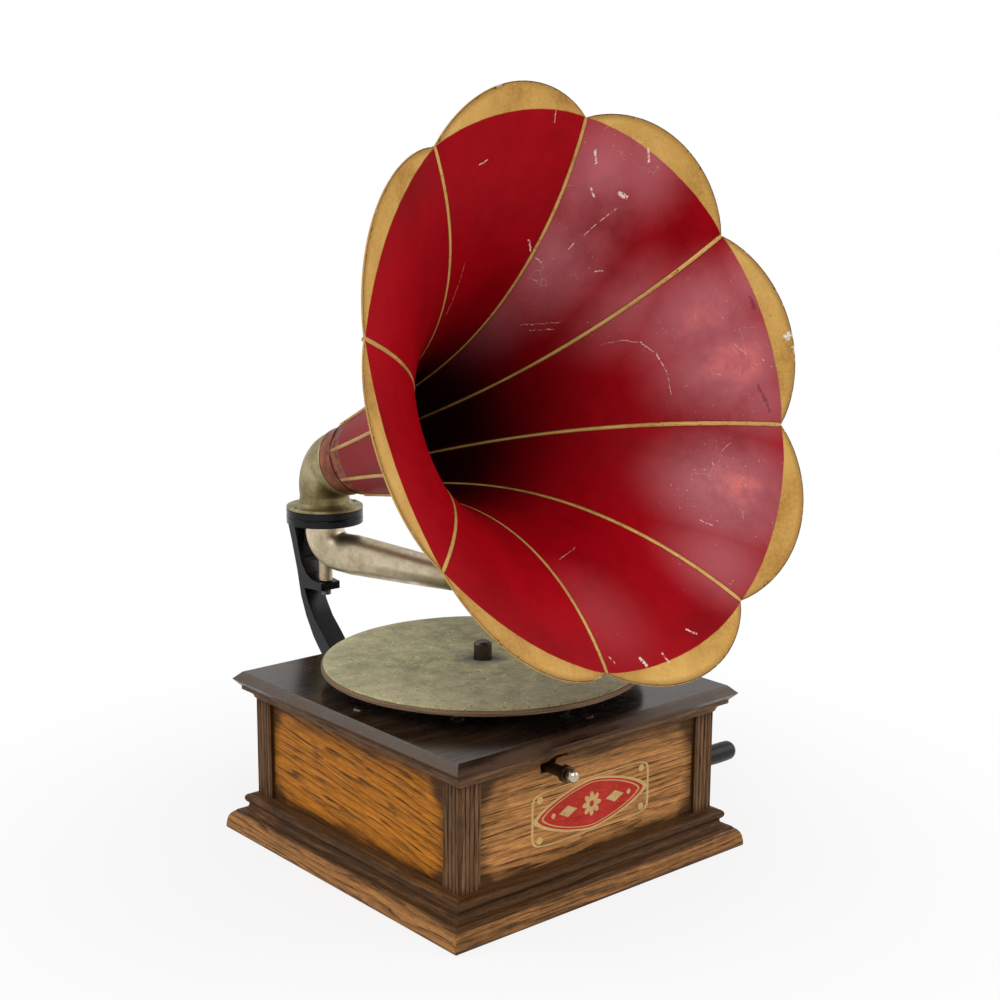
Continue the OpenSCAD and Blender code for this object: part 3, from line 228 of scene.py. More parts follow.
class Graph:
    """A node tree with one method that adds any node."""

    def __init__(self, tree):
        self.tree = tree

    def add(self, kind, values=None, settings=None, out=0):
        """Adds a node, its settings first and then its sockets' values or links. Returns its output out."""
        node = self.tree.nodes.new(kind)
        for name, setting in (settings or {}).items():
            if name == "stops":
                set_stops(node.color_ramp, setting)
            else:
                setattr(node, name, setting)
        for key, value in (values or {}).items():
            self.feed(node.inputs[key], value)
        return Socket(self, node.outputs[out])

    def feed(self, socket, value):
        if isinstance(value, Socket):
            self.tree.links.new(value.link, socket)
        elif value is not None:
            socket.default_value = as_colour(value) if socket.type == "RGBA" else value

    def join(self, x, y, z=0.0):
        return self.add("ShaderNodeCombineXYZ", {0: x, 1: y, 2: z})

    def split(self, vector):
        node = self.add("ShaderNodeSeparateXYZ", {0: vector}).link.node
        return [Socket(self, output) for output in node.outputs]

    def vector(self, operation, *values):
        return self.add("ShaderNodeVectorMath", dict(enumerate(values)), {"operation": operation})

    def dot(self, first, second):
        values = {0: first, 1: tuple(second)}
        return self.add("ShaderNodeVectorMath", values, {"operation": "DOT_PRODUCT"}, "Value")

    def place(self):
        """Object coordinates, in metres from the middle of the case's underside."""
        return self.add("ShaderNodeTexCoord", out="Object")

    def scaled(self, vector, x, y, z):
        return self.add("ShaderNodeMapping", {"Vector": vector, "Scale": (x, y, z)})

    def noise(self, vector, scale, detail=4.0, rough=0.55, distortion=0.0):
        values = {
            "Vector": vector, "Scale": scale, "Detail": detail, "Roughness": rough, "Distortion": distortion,
        }
        return self.add("ShaderNodeTexNoise", values, out="Fac")

    def cells(self, vector, scale, feature="F1", out="Distance"):
        return self.add("ShaderNodeTexVoronoi", {"Vector": vector, "Scale": scale}, {"feature": feature}, out)

    def ramp(self, factor, *stops):
        return self.add("ShaderNodeValToRGB", {0: factor}, {"stops": stops})

    def blend(self, factor, below, above, how="MIX"):
        """Colour below where factor is 0 and above where it is 1."""
        settings = {"data_type": "RGBA", "blend_type": how}
        return self.add("ShaderNodeMix", {0: factor, 6: below, 7: above}, settings, 2)

    def attribute(self, name):
        return self.add("ShaderNodeAttribute", settings={"attribute_name": name}, out="Fac")

    def bump(self, height, depth, strength=1.0):
        """A normal that follows height, where 1 stands depth metres proud."""
        return self.add("ShaderNodeBump", {"Height": height, "Distance": depth, "Strength": strength})


def set_stops(ramp, stops):
    """Gives a colour ramp its stops, each (place, colour)."""
    while len(ramp.elements) < len(stops):
        ramp.elements.new(0.5)
    for element, (place, colour) in zip(ramp.elements, stops):
        element.position = place
        element.color = as_colour(colour)


def finish_material(name, make, **sockets):
    """A material whose surface is make(graph), a dict of the shader's sockets. sockets are plain values."""
    material = bpy.data.materials.new(name)
    material.use_nodes = True
    graph = Graph(material.node_tree)
    shader = material.node_tree.nodes["Principled BSDF"]
    for key, value in {**make(graph), **sockets}.items():
        graph.feed(shader.inputs[key], value)
    return material


def board_edge_shade(g):
    """Painted shade on a case board: darker near its corner posts, under the cornice and above the base, with
    a painted shadow line in the gap beside each post.
    """
    x, y, z = g.split(g.place())
    sideways = abs(x).least(abs(y))
    by_posts = sideways.ease(0.088, 0.109) * 0.6
    by_top = z.ease(0.084, 0.112) * 0.75
    by_base = z.ease(0.047, 0.031) * 0.75
    gap_shadow = sideways.ease(BOARD_HALF * MM - 0.0020, BOARD_HALF * MM - 0.0006)
    return (by_posts + by_top + by_base + gap_shadow).least(1.0)


def base_moulding_shade(g):
    """Painted shade on the base moulding, on top of an even dark varnish: darker above its lower band, at its
    very foot and along its front length, which is painted darker than the sides.
    """
    x, y, z = g.split(g.place())
    # Painted shade: the front length is darker than the sides
    front = (abs(x) + y).ease(0.002, -0.002)
    return z.ease(0.011, 0.016) * 0.5 + z.ease(0.003, 0.0) * 0.4 + front * 0.20 + 0.42


def reed_groove_shade(g):
    """Painted shade on the corner posts: darker in the grooves between the reeds and towards the posts' top
    and bottom ends.
    """
    x, y, z = g.split(g.place())
    inward = PILASTER_OUT * MM - abs(x).most(abs(y))
    ends = z.ease(0.100, 0.111) + z.ease(0.040, 0.031)
    return (inward.ease(0.0002, 0.0015) * 0.95 + ends * 0.5).least(1.0)


# How close together the oak's year rings are
RINGS_PER_METRE = 165.0


def oak(name, light, dark, along, place=None, shade=None, over=None, lean=0.0, kept=0.55):
    """Stained oak. The grain runs along axis 0, 1 or 2 of its coordinates, which are in metres.

    shade(g) is 1 where painted shade is darkest, and kept is how much dark varnish there is elsewhere.
    """
    light, dark = (*light, 1), (*dark, 1)

    def make(g):
        at = g.place() if place is None else g.add("ShaderNodeUVMap", settings={"uv_map": place}, out="UV")
        if lean:
            x, y, z = g.split(at)
            at = g.join(x, y, z + y * lean)

        def grain(across_scale, along_scale, detail, distortion=0.0):
            scale = [across_scale] * 3
            scale[along] = along_scale
            return g.noise(g.scaled(at, *scale), 1.0, detail, 0.6, distortion)

        across = sum(part for axis, part in enumerate(g.split(at)) if axis != along)
        figure = grain(16, 1.7, 3.0, 0.5)
        lines = grain(330, 7, 4.0, 0.2)
        rings = (across * RINGS_PER_METRE + figure * 12.0 + lines * 0.7).fraction()
        late_wood = rings.ease(0.35, 0.95)
        dashes = grain(950, 34, 2.0).ease(0.50, 0.62) * (late_wood * 0.75 + 0.25)
        pores = grain(1900, 90, 2.0).ease(0.52, 0.40)
        stain = g.noise(at, 16.0, 4.0, 0.6)
        tone = 0.78 - late_wood * 0.42 + (lines - 0.5) * 1.3 + (stain - 0.5) * 0.9
        middle = tuple(0.6 * a + 0.4 * b for a, b in zip(light, dark))
        body = g.ramp(tone, (0.0, dark), (0.5, middle), (1.0, light))
        varnish = tuple(0.28 * c for c in dark[:3]) + (1.0,)
        colour = g.blend(dashes * 0.85, body, varnish)
        colour = g.blend(pores * 0.3, colour, varnish)
        varnish_and_shade = stain.ease(0.56, 0.72) * kept
        # Painted shade from shade(g) darkens the wood towards the dark varnish colour
        if shade:
            varnish_and_shade = varnish_and_shade.most((shade(g) + (stain - 0.5) * 1.1 + (lines - 0.5) * 1.4).ease(0.25, 1.0))
        colour = g.blend(varnish_and_shade * 0.88, colour, varnish)
        height = lines * 0.5 - pores * 0.6 - dashes * 0.5
        sockets = {
            "Base Color": colour,
            "Roughness": 0.42 + pores * 0.2 - varnish_and_shade * 0.08,
            "Normal": g.bump(height, 0.0002),
        }
        return over(g, sockets) if over else sockets

    return finish_material(name, make, **{"Specular IOR Level": 0.12})


def dark_deck():
    """Near-black brown varnish on the lid, streaky, glossy and rubbed brown at its edge."""

    def make(g):
        at = g.place()
        z = g.split(at)[2]
        grain = g.noise(g.scaled(at, 7, 110, 110), 1.0, 5.0, 0.65)
        cloud = g.noise(at, 16.0, 4.0)
        pores = g.noise(g.scaled(at, 50, 800, 800), 1.0, 2.0).ease(0.5, 0.36)
        speck = g.noise(at, 420.0, 2.0).ease(0.70, 0.78)
        tone = (grain * 0.9 + cloud * 0.6 - 0.25).ease(0.15, 0.85)
        colour = g.ramp(tone, (0.0, (20, 13, 9)), (0.5, (38, 26, 18)), (1.0, (68, 48, 32)))
        edge = z.ease(CASE_H * MM - 0.0004, CASE_H * MM - 0.003) * (grain + cloud * 0.5).ease(0.55, 0.95)
        colour = g.blend(edge * 0.55, colour, (84, 60, 40))
        colour = g.blend(speck * 0.4, colour, (130, 112, 95))
        return {
            "Base Color": colour,
            "Roughness": 0.16 + cloud * 0.12 + pores * 0.08 + edge * 0.2,
            "Normal": g.bump(grain * 0.2 - pores * 0.5, 0.00002),
        }

    gloss = {"Specular IOR Level": 0.42, "Specular Tint": (255, 232, 214)}
    return finish_material("dark_varnish", make, **gloss)


def felt_cloth():
    """Worn grey-green felt with lint, nap and a dark smudge round the spindle."""

    def make(g):
        at = g.place()
        x, y, _ = g.split(at)
        from_middle = g.add("ShaderNodeVectorMath", {0: g.join(x, y)}, {"operation": "LENGTH"}, "Value")
        cloud = g.noise(at, 17.0, 5.0, 0.6)
        patch = g.noise(at, 60.0, 4.0, 0.65)
        nap = g.noise(at, 900.0, 3.0, 0.7)
        fibres = g.noise(g.scaled(at, 1500, 260, 1), 1.0, 3.0, 0.7, 1.5)
        lint = g.noise(g.scaled(at, 420, 900, 1), 1.0, 3.0, 0.5, 2.5).ease(0.66, 0.72)
        rubbed = (from_middle + cloud * 0.03).ease(0.075, 0.112)
        smudge = (from_middle + patch * 0.012).ease(0.030, 0.014)
        tone = (cloud * 0.7 + patch * 0.7 + nap * 0.5 - 0.45).ease(0.2, 0.8)
        colour = g.ramp(tone, (0.0, (124, 130, 84)), (0.5, (186, 186, 128)), (1.0, (228, 224, 166)))
        colour = g.blend(rubbed * 0.25, colour, (196, 184, 144))
        colour = g.blend(fibres.ease(0.48, 0.60) * 0.35, colour, (92, 90, 70))
        colour = g.blend(smudge * 0.75, colour, (72, 62, 50))
        crumbs = g.noise(at, 250.0, 3.0, 0.6).ease(0.63, 0.67)
        colour = g.blend(crumbs * 0.7, colour, (84, 80, 56))
        specks = g.noise(g.vector("ADD", at, (7.1, 3.3, 0)), 300.0, 2.0, 0.6).ease(0.65, 0.69)
        colour = g.blend(specks * 0.7, colour, (240, 234, 208))
        colour = g.blend(lint * 0.8, colour, (236, 230, 206))
        return {
            "Base Color": colour,
            "Roughness": 0.93 - smudge * 0.2,
            "Normal": g.bump(nap * 0.6 + fibres * 0.5 + lint * 0.4, 0.0005, 0.8),
        }

    return finish_material("felt", make, **{"Sheen Weight": 0.25, "Sheen Roughness": 0.6})


def worn_metal(name, bright, dull, gloss=0.3, brushed=None, spots=0.25, metallic=1.0, coat=0.0):
    """Metal with dull patches, fine scratches and dark pits. brushed is the axis that the polish follows."""
    bright, dull = paint(*bright), paint(*dull)

    def make(g):
        at = g.place()
        scale = [330, 330, 330]
        if brushed is not None:
            scale[brushed] = 14
        lines = g.noise(g.scaled(at, *scale), 1.0, 3.0, 0.6)
        cloud = g.noise(at, 34.0, 5.0, 0.62)
        fine = g.noise(at, 210.0, 4.0, 0.7)
        pits = g.noise(at, 640.0, 2.0).ease(0.66, 0.74)
        tone = (cloud * 1.1 + fine * 0.4 - 0.25).ease(0.2, 0.8)
        colour = g.blend(tone, dull, bright)
        stain = g.noise(at, 75.0, 5.0, 0.7, 0.6).ease(0.58, 0.70) * spots
        tarnish = tuple(0.42 * c for c in dull[:3]) + (1.0,)
        colour = g.blend((stain + pits * spots).least(1.0), colour, tarnish)
        return {
            "Base Color": colour,
            "Roughness": gloss + 0.16 - tone * 0.18 + stain * 0.5 + lines * 0.06,
            "Normal": g.bump(lines * 0.5 + fine * 0.35 - pits * 0.8, 0.00008),
        }

    return finish_material(name, make, Metallic=metallic, **{"Coat Weight": coat, "Coat Roughness": 0.12})


def black_enamel():
    """Glossy black stoving enamel on cast iron: soft orange peel, and chips that show grey iron."""

    def make(g):
        at = g.place()
        peel = g.noise(at, 190.0, 2.0)
        dust = g.noise(at, 48.0, 5.0, 0.7)
        chip = g.noise(at, 260.0, 4.0, 0.7).ease(0.70, 0.73)
        colour = g.blend(dust.ease(0.45, 0.75), (8, 8, 9), (26, 25, 26))
        colour = g.blend(chip * 0.8, colour, (112, 106, 98))
        return {
            "Base Color": colour,
            "Roughness": 0.16 + dust * 0.18 + chip * 0.3,
            "Normal": g.bump(peel * 0.5 - chip, 0.00025),
        }

    return finish_material("black_enamel", make, **{"Specular IOR Level": 0.22})


def laminated_rim():
    """The platter's edge: tan and brown bands with nicks."""

    def make(g):
        at = g.place()
        x, y, z = g.split(at)
        turn = g.add("ShaderNodeMath", {0: y, 1: x}, {"operation": "ARCTAN2"})
        layer = g.noise(g.join(turn * 3.0, z * 700.0), 1.0, 3.0)
        fibre = g.noise(g.join(turn * 55.0, z * 1300.0), 1.0, 4.0, 0.7)
        nick = g.noise(at, 330.0, 4.0, 0.7).ease(0.66, 0.72)
        colour = g.ramp(layer * 0.6 + fibre * 0.4, (0.3, (70, 50, 36)), (0.5, (128, 100, 72)),
            (0.7, (166, 142, 108)))
        colour = g.blend(nick, colour, (58, 42, 34))
        return {
            "Base Color": colour,
            "Roughness": 0.62 + fibre * 0.2,
            "Normal": g.bump(fibre - nick, 0.0002),
        }

    return finish_material("platter_edge", make)


def gold_paint(g, at):
    """Aged bronze-gold paint and its cloudiness."""
    cloud = g.noise(at, 17.0, 5.0, 0.6)
    fine = g.noise(at, 420.0, 4.0, 0.7)
    colour = g.ramp(
        cloud * 0.75 + fine * 0.3,
        (0.34, (150, 106, 52)), (0.50, (192, 148, 78)), (0.72, (216, 174, 100)),
    )
    speck = g.noise(at, 560.0, 3.0, 0.6).ease(0.67, 0.72)
    return g.blend(speck * 0.7, colour, (84, 56, 30)), cloud


def scratch_lines(g, at, scale, width, amount):
    """Short fine lines in all directions, 1 on a line. More of them where amount is larger."""
    sway = g.noise(at, 30.0, 2.0)
    bent = g.vector("ADD", at, sway * 0.02)
    edge = g.cells(bent, scale, "DISTANCE_TO_EDGE")
    here = g.noise(at, 48.0, 3.0, 0.6)
    return edge.ease(width * scale, width * scale * 0.3) * here.ease(0.74 - amount, 0.76 - amount)


# Scratches on the horn's mouth, in mm: start and end, each across and up from the axis, and half the width
SCRATCHES = [
    (-59, 167, -49, 171, 0.3), (-44, 110, -38, 78, 0.06), (15, 204, 15, 196, 0.25), (59, 178, 62, 169, 0.9),
    (105, 176, 107, 166, 0.8), (61, 153, 66, 146, 0.6), (85, 148, 93, 143, 1.2), (86, 137, 75, 130, 0.25),
    (72, 128, 65, 122, 0.2), (59, 118, 56, 114, 0.4), (31, 112, 38, 108, 0.2), (81, 96, 87, 95, 0.25),
    (18, 124, 25, 116, 0.4), (44, 69, 69, 65, 0.06), (52, 64, 68, 61, 0.1), (96, 42, 107, 42, 0.02),
    (107, 42, 118, 37, 0.12), (118, 37, 127, 26, 0.16), (127, 26, 132, 10, 0.16), (132, 10, 132, -8, 0.06),
    (111, -110, 117, -116, 0.3), (43, -186, 50, -191, 0.6), (-11, -117, 13, -111, 0.0),
    (-13, -196, -11, -203, 1.3), (9, -197, 10, -205, 0.8), (-39, -190, -37, -195, 0.4),
    (150, -60, 158, -55, 0.05), (178, 20, 184, 12, 0.1),
]
# Places of painted sheen on the mouth, where the crimson is painted pale pink as if it reflected light:
# across, up, radius in mm, and how strong each is
PAINTED_SHEEN_SPOTS = [
    (70, 160, 72, 1.05), (104, 164, 60, 0.9), (52, 108, 62, 1.15), (24, 74, 46, 0.8), (112, 66, 54, 0.7),
    (158, 46, 66, 1.3), (172, 8, 68, 1.5), (194, 66, 50, 0.95), (188, -24, 56, 0.9), (144, -93, 70, 1.5),
    (108, -144, 56, 0.8), (-20, -160, 56, 0.25),
]
# Dark rubbed marks near the right edge, written as the scratches are
BRUISES = [(188, -14, 194, -37, 1.0), (192, 56, 195, 45, 1.2)]
# The chipped gold on the right, written as the painted sheen spots are
CHIPPED = [(217, 20, 8, 1.0), (220, 8, 7, 1.0)]
# Direction of the seam between the top petal, which gets no painted sheen, and the one beside it, which does
TOP_SEAM = (math.cos(HORN_PHASE - math.pi / 4), math.sin(HORN_PHASE - math.pi / 4))


def mouth_place(g, at):
    """Place across and up the horn's mouth, in millimetres from its axis. Its third part is 1."""
    from_corner = g.vector("SUBTRACT", at, tuple(MM * c for c in ELBOW_CORNER))
    return g.join(g.dot(from_corner, HORN_RIGHT) / MM, g.dot(from_corner, HORN_UP) / MM, 1.0)


def soft_spots(g, place, spots):
    """The strongest of the soft round spots at each place, on the petals from the upper right down."""
    total = 0.0
    for x, y, radius, strength in spots:
        away = g.add("ShaderNodeVectorMath", {0: place, 1: (x, y, 1)}, {"operation": "DISTANCE"}, "Value")
        total = (away.ease(radius, 0.0) * strength).most(total)
    return total * g.dot(place, (TOP_SEAM[1], -TOP_SEAM[0], 0)).ease(-1.0, 1.5)


def strokes(g, place, lines):
    """1 on each straight scratch of lines. The place's third part is 1, so one product also shifts it."""
    outside = 1.0
    for x0, y0, x1, y1, half_width in lines:
        length = math.hypot(x1 - x0, y1 - y0)
        dx, dy = (x1 - x0) / length, (y1 - y0) / length
        along = g.dot(place, (dx, dy, -((x0 + x1) * dx + (y0 + y1) * dy) / 2))
        beside = g.dot(place, (-dy, dx, x0 * dy - y0 * dx))
        outside = (abs(along) - length / 2).most(abs(beside) - half_width).least(outside)
    return outside.ease(0.25, -0.15)


def horn_inside():
    """Crimson gloss paint with gold crescents at the rim and gold lines on the seams, scratched, with painted
    sheen on the petals from the upper right down and painted shade towards the throat.
    """

    def make(g):
        at = g.place()
        bulge = g.attribute("petal_bulge")
        along = g.attribute("along_horn")
        from_rim = g.attribute("from_rim")
        from_seam = g.attribute("from_seam")
        cloud = g.noise(at, 9.0, 4.0)
        fine = g.noise(at, 110.0, 4.0, 0.65)
        mouth = mouth_place(g, at)
        # Painted sheen: pale patches that stand for reflected light. More fine scratches, roughness and coat
        # go with them
        painted_sheen_and_wear = soft_spots(g, mouth, PAINTED_SHEEN_SPOTS) * (cloud - 0.5 + fine * 0.12).ease(-0.34, 0.1)
        red = g.ramp(
            cloud * 0.75 + fine * 0.25,
            (0.32, (120, 1, 10)), (0.52, (148, 2, 15)), (0.72, (166, 6, 22)),
        )
        # Colour of the painted sheen: mauve at its edges and a salmon highlight at its core
        sheen_colour = g.blend(painted_sheen_and_wear.ease(0.90, 1.50), (190, 116, 124), (244, 128, 122))
        red = g.blend((painted_sheen_and_wear * 0.55).least(0.66), red, sheen_colour)
        # Painted shade: the crimson darkens towards the throat, deep in the horn
        throat_shade = along.ease(0.84, 0.30)
        red = g.blend(throat_shade * 0.96, red, (14, 1, 2))
        wobble = g.noise(at, 90.0, 3.0) - 0.5
        crescent = bulge * 0.0205
        rim_gold = (from_rim - crescent + wobble * 0.0010).ease(0.0004, -0.0004)
        line_width = 0.0015 + wobble * 0.0005
        line_gold = (from_seam - line_width).ease(0.00035, -0.0002) * along.ease(0.10, 0.35)
        shadow = (from_seam - line_width).ease(0.0013, 0.0001) * (1.0 - line_gold)
        red = g.blend(shadow * 0.7, red, (52, 4, 6))
        gold, gold_cloud = gold_paint(g, at)
        # Painted shade: the gold lines darken towards the throat too
        gold = g.blend(along.ease(0.95, 0.42) * 0.88, gold, (40, 22, 10))
        groove = from_seam.ease(0.0005, 0.0002) * (1.0 - rim_gold)
        gold = g.blend(groove * 0.6, gold, (88, 54, 26))
        browned = from_rim.ease(0.006, 0.0) * (gold_cloud.ease(0.35, 0.6) * 0.5 + 0.1)
        gold = g.blend(browned, gold, (112, 76, 38))
        line_worn = g.noise(at, 130.0, 4.0, 0.7).ease(0.56, 0.68) * (1.0 - rim_gold) * 0.7
        gold_mask = rim_gold.most(line_gold * (1.0 - line_worn))
        colour = g.blend(gold_mask, red, gold)
        ragged = g.noise(at, 240.0, 3.0, 0.7) - 0.5
        placed = strokes(g, g.vector("ADD", mouth, g.join(ragged * 2.6, ragged * 2.6)), SCRATCHES)
        placed = placed * g.noise(at, 420.0, 3.0, 0.7).ease(0.40, 0.50)
        bruised = strokes(g, g.vector("ADD", mouth, g.join(ragged * 6.0, ragged * 6.0)), BRUISES)
        colour = g.blend(bruised * 0.5, colour, (84, 26, 30))
        hairs = scratch_lines(g, at, 60.0, 0.00014, painted_sheen_and_wear * 0.16) * 0.45
        dots = g.noise(at, 520.0, 2.0, 0.5).ease(0.70, 0.72) * g.noise(at, 34.0, 3.0).ease(0.50, 0.58)
        marks = (placed + hairs + dots * painted_sheen_and_wear * 0.8).least(1.0) * (1.0 - throat_shade)
        colour = g.blend(marks * 0.85, colour, (236, 214, 200))
        nicks = g.noise(at, 210.0, 5.0, 0.75)
        edge_loss = nicks.ease(0.58, 0.64) * from_rim.ease(0.0035, 0.0004)
        edge_loss = edge_loss.most(from_rim.ease(0.0011, 0.0004) * 0.75)
        chip = soft_spots(g, mouth, CHIPPED).ease(0.25, 0.75)
        bare = edge_loss.most(nicks.ease(0.74, 0.76) * from_rim.ease(0.03, 0.0))
        bare = bare.most(chip * nicks.ease(0.50, 0.54))
        sheet = g.blend(fine.ease(0.58, 0.72).most(chip), (50, 32, 22), (226, 222, 214))
        colour = g.blend(bare, colour, sheet)
        height = gold_mask * 0.5 - marks * 0.6 - bare + fine * 0.12
        return {
            "Base Color": colour,
            "Roughness": 0.34 + painted_sheen_and_wear * 0.12 + fine * 0.08 + rim_gold * 0.10 + marks * 0.2,
            "Metallic": gold_mask * 0.2 * (1.0 - bare),
            "Coat Weight": (painted_sheen_and_wear * 0.3).least(0.35) * (1.0 - gold_mask),
            "Normal": g.bump(height, 0.00015),
        }

    return finish_material("horn_paint_inside", make, **{"Specular IOR Level": 0.03, "Coat Roughness": 0.3})


def horn_outside():
    """The horn's outer face: the same crimson, rubbed along the ribs, with a gold edge."""

    def make(g):
        at = g.place()
        from_rim = g.attribute("from_rim")
        from_seam = g.attribute("from_seam")
        cloud = g.noise(at, 11.0, 4.0)
        fine = g.noise(at, 120.0, 4.0, 0.65)
        red = g.ramp(
            cloud * 0.7 + fine * 0.3,
            (0.3, (106, 3, 12)), (0.55, (140, 8, 20)), (0.8, (158, 18, 30)),
        )
        rub = g.noise(at, 70.0, 5.0, 0.7).ease(0.52, 0.64) * from_seam.ease(0.012, 0.002)
        red = g.blend(rub * 0.7, red, (92, 50, 34))
        neck = (g.attribute("along_horn") + (cloud - 0.5) * 0.02).ease(0.058, 0.050)
        red = g.blend(neck * 0.9, red, g.blend(fine.ease(0.4, 0.6), (96, 44, 30), (150, 86, 62)))
        gold = gold_paint(g, at)[0]
        edge = (from_rim + (fine - 0.5) * 0.003).ease(0.0042, 0.003)
        colour = g.blend(edge, red, gold)
        marks = scratch_lines(g, at, 30.0, 0.0003, 0.10)
        chips = g.noise(at, 190.0, 5.0, 0.75).ease(0.675, 0.70)
        colour = g.blend(marks * 0.5, colour, (220, 190, 175))
        colour = g.blend(chips, colour, (70, 44, 34))
        return {
            "Base Color": colour,
            "Roughness": 0.34 + fine * 0.16 + chips * 0.3,
            "Normal": g.bump(fine * 0.15 - marks * 0.6 - chips, 0.00018),
        }

    return finish_material("horn_paint_outside", make, **{"Specular IOR Level": 0.12})


def bronze_line(name="rib_gold"):
    """Gold paint on the raised seams."""

    def make(g):
        at = g.place()
        gold, cloud = gold_paint(g, at)
        rub = g.noise(at, 160.0, 5.0, 0.7).ease(0.58, 0.68)
        colour = g.blend(rub * 0.75, gold, (96, 30, 24))
        return {
            "Base Color": colour,
            "Roughness": 0.46 + rub * 0.2,
            "Normal": g.bump(cloud * 0.3 - rub, 0.00012),
        }

    return finish_material(name, make, Metallic=0.25)


# The transfer on the front board, in metres: its middle and half its size
BADGE_X = 0.0005
BADGE_Z = 0.066
BADGE_HALF_W = 0.0605
BADGE_HALF_H = 0.0215


def badge_over(g, sockets):
    """Adds a plain transfer to the front board: a red lozenge, a rosette, two buds and a thin gold frame."""
    at = g.place()
    x, y, z = g.split(at)
    u = (x - BADGE_X) / BADGE_HALF_W
    v = (z - BADGE_Z) / BADGE_HALF_H
    on_face = (y + 0.9995 * PANEL_HALF * MM).ease(0.0004, 0.0)
    au = abs(u)
    av = abs(v)
    frame_ring = (au ** 8.0 + av ** 8.0) ** 0.125
    field = ((au / 0.90) ** 1.45 + (av / 0.86) ** 1.45) ** (1 / 1.45)
    mm_x = (x - BADGE_X) * 1000.0
    mm_z = (z - BADGE_Z) * 1000.0
    radius = (mm_x * mm_x + mm_z * mm_z) ** 0.5
    turn = g.add("ShaderNodeMath", {0: mm_z, 1: mm_x}, {"operation": "ARCTAN2"})
    lobes = radius / (5.6 + abs((turn * 4.0).cosine()) * 4.2)
    bud = abs(abs(mm_x) - 24.0) / 9.5 + abs(mm_z) / 4.6
    bead = ((abs(mm_x) - 38.5) ** 2.0 + mm_z ** 2.0) ** 0.5 / 2.1
    corner = ((abs(mm_x) - 52.0) ** 2.0 + (abs(mm_z) - 15.5) ** 2.0) ** 0.5 / 3.0
    red_mask = field.ease(1.0, 0.985)
    border = field.ease(1.085, 1.07) * (1.0 - red_mask)
    inner_line = field.ease(0.93, 0.92) * field.ease(0.885, 0.895)
    frame_line = frame_ring.ease(1.0, 0.99) * frame_ring.ease(0.955, 0.965)
    rosette = lobes.ease(1.0, 0.94) * (radius / 2.4).ease(0.9, 1.05)
    gold_mask = border.most(inner_line).most(frame_line).most(rosette)
    gold_mask = gold_mask.most(bud.ease(1.0, 0.94)).most(bead.ease(1.0, 0.9)).most(corner.ease(1.0, 0.9))
    worn = g.noise(at, 330.0, 5.0, 0.7).ease(0.60, 0.68)
    cloud = g.noise(at, 60.0, 4.0)
    red = g.blend(cloud, (168, 26, 24), (204, 50, 42))
    gold = g.blend(cloud, (196, 160, 96), (222, 194, 136))
    shown = on_face * (1.0 - worn * 0.7)
    colour = g.blend(red_mask * shown * 0.95, sockets["Base Color"], red)
    sockets["Base Color"] = g.blend(gold_mask * shown * 0.92, colour, gold)
    return sockets


def blank(name):
    """An empty object at the origin, linked to the scene."""
    piece = bpy.data.objects.new(name, bpy.data.meshes.new(name))
    bpy.context.scene.collection.objects.link(piece)
    return piece


def dress(piece, body, materials, *stands_for):
    """Gives a finished piece its materials and the body it moves with, and hides the solids it stands for."""
    if materials:
        piece.data.materials.clear()
        for material in materials:
            piece.data.materials.append(material)
    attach(piece, body)
    if stands_for:
        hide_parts(*stands_for)
    return piece


def smooth(mesh, crease=35.0):
    """Smooth shading, with edges sharper than crease degrees left sharp."""
    mesh.shade_smooth()
    mesh.set_sharp_from_angle(angle=math.radians(crease))


def set_mesh(piece, points, faces, crease=35.0):
    """Fills a piece with points in millimetres and faces, closes it and turns its faces outwards."""
    mesh = piece.data
    mesh.from_pydata([tuple(MM * c for c in point) for point in points], [], faces)
    clean(mesh)
    smooth(mesh, crease)
    return piece


def build(name, shape, body, material, node, crease=30.0):
    """A new piece with shape's points and faces, dressed to stand for a solid."""
    return dress(set_mesh(blank(name), *shape, crease), body, [material], node)


def clean(mesh):
    """Merges doubles, then turns the faces outwards."""
    work = bmesh.new()
    work.from_mesh(mesh)
    bmesh.ops.remove_doubles(work, verts=work.verts, dist=1e-6)
    bmesh.ops.dissolve_degenerate(work, edges=work.edges, dist=1e-7)
    bmesh.ops.recalc_face_normals(work, faces=work.faces)
    work.to_mesh(mesh)
    work.free()


def tube(rings, sides=48):
    """Points and faces of a pipe. A ring is a centre, two cross directions, an outer and an inner radius."""
    points = []
    for layer in (3, 4):
        for ring in rings:
            for step in range(sides):
                turn = 2 * math.pi * step / sides
                points.append(ring[0] + ring[layer] * (math.cos(turn) * ring[1] + math.sin(turn) * ring[2]))
    count = len(rings)
    inner = count * sides
    faces = []
    for row in range(count - 1):
        for step in range(sides):
            after = (step + 1) % sides
            a, b = row * sides + step, row * sides + after
            faces.append((a, a + sides, b + sides, b))
            faces.append((inner + b, inner + b + sides, inner + a + sides, inner + a))
    for row in (0, count - 1):
        for step in range(sides):
            after = (step + 1) % sides
            a, b = row * sides + step, row * sides + after
            faces.append((a, b, inner + b, inner + a))
    return points, faces


def turned(profile, frame_matrix, sides=96):
    """Points and faces of a turned shape. profile is a closed line of (radius, height) about its Z."""
    points = []
    for step in range(sides):
        turn = 2 * math.pi * step / sides
        for radius, height in profile:
            points.append(frame_matrix @ Vector((radius * math.cos(turn), radius * math.sin(turn), height)))
    count = len(profile)
    faces = []
    for step in range(sides):
        here = step * count
        there = (step + 1) % sides * count
        for k in range(count):
            after = (k + 1) % count
            if profile[k][0] > 0 or profile[after][0] > 0:
                faces.append((here + k, there + k, there + after, here + after))
    return points, faces


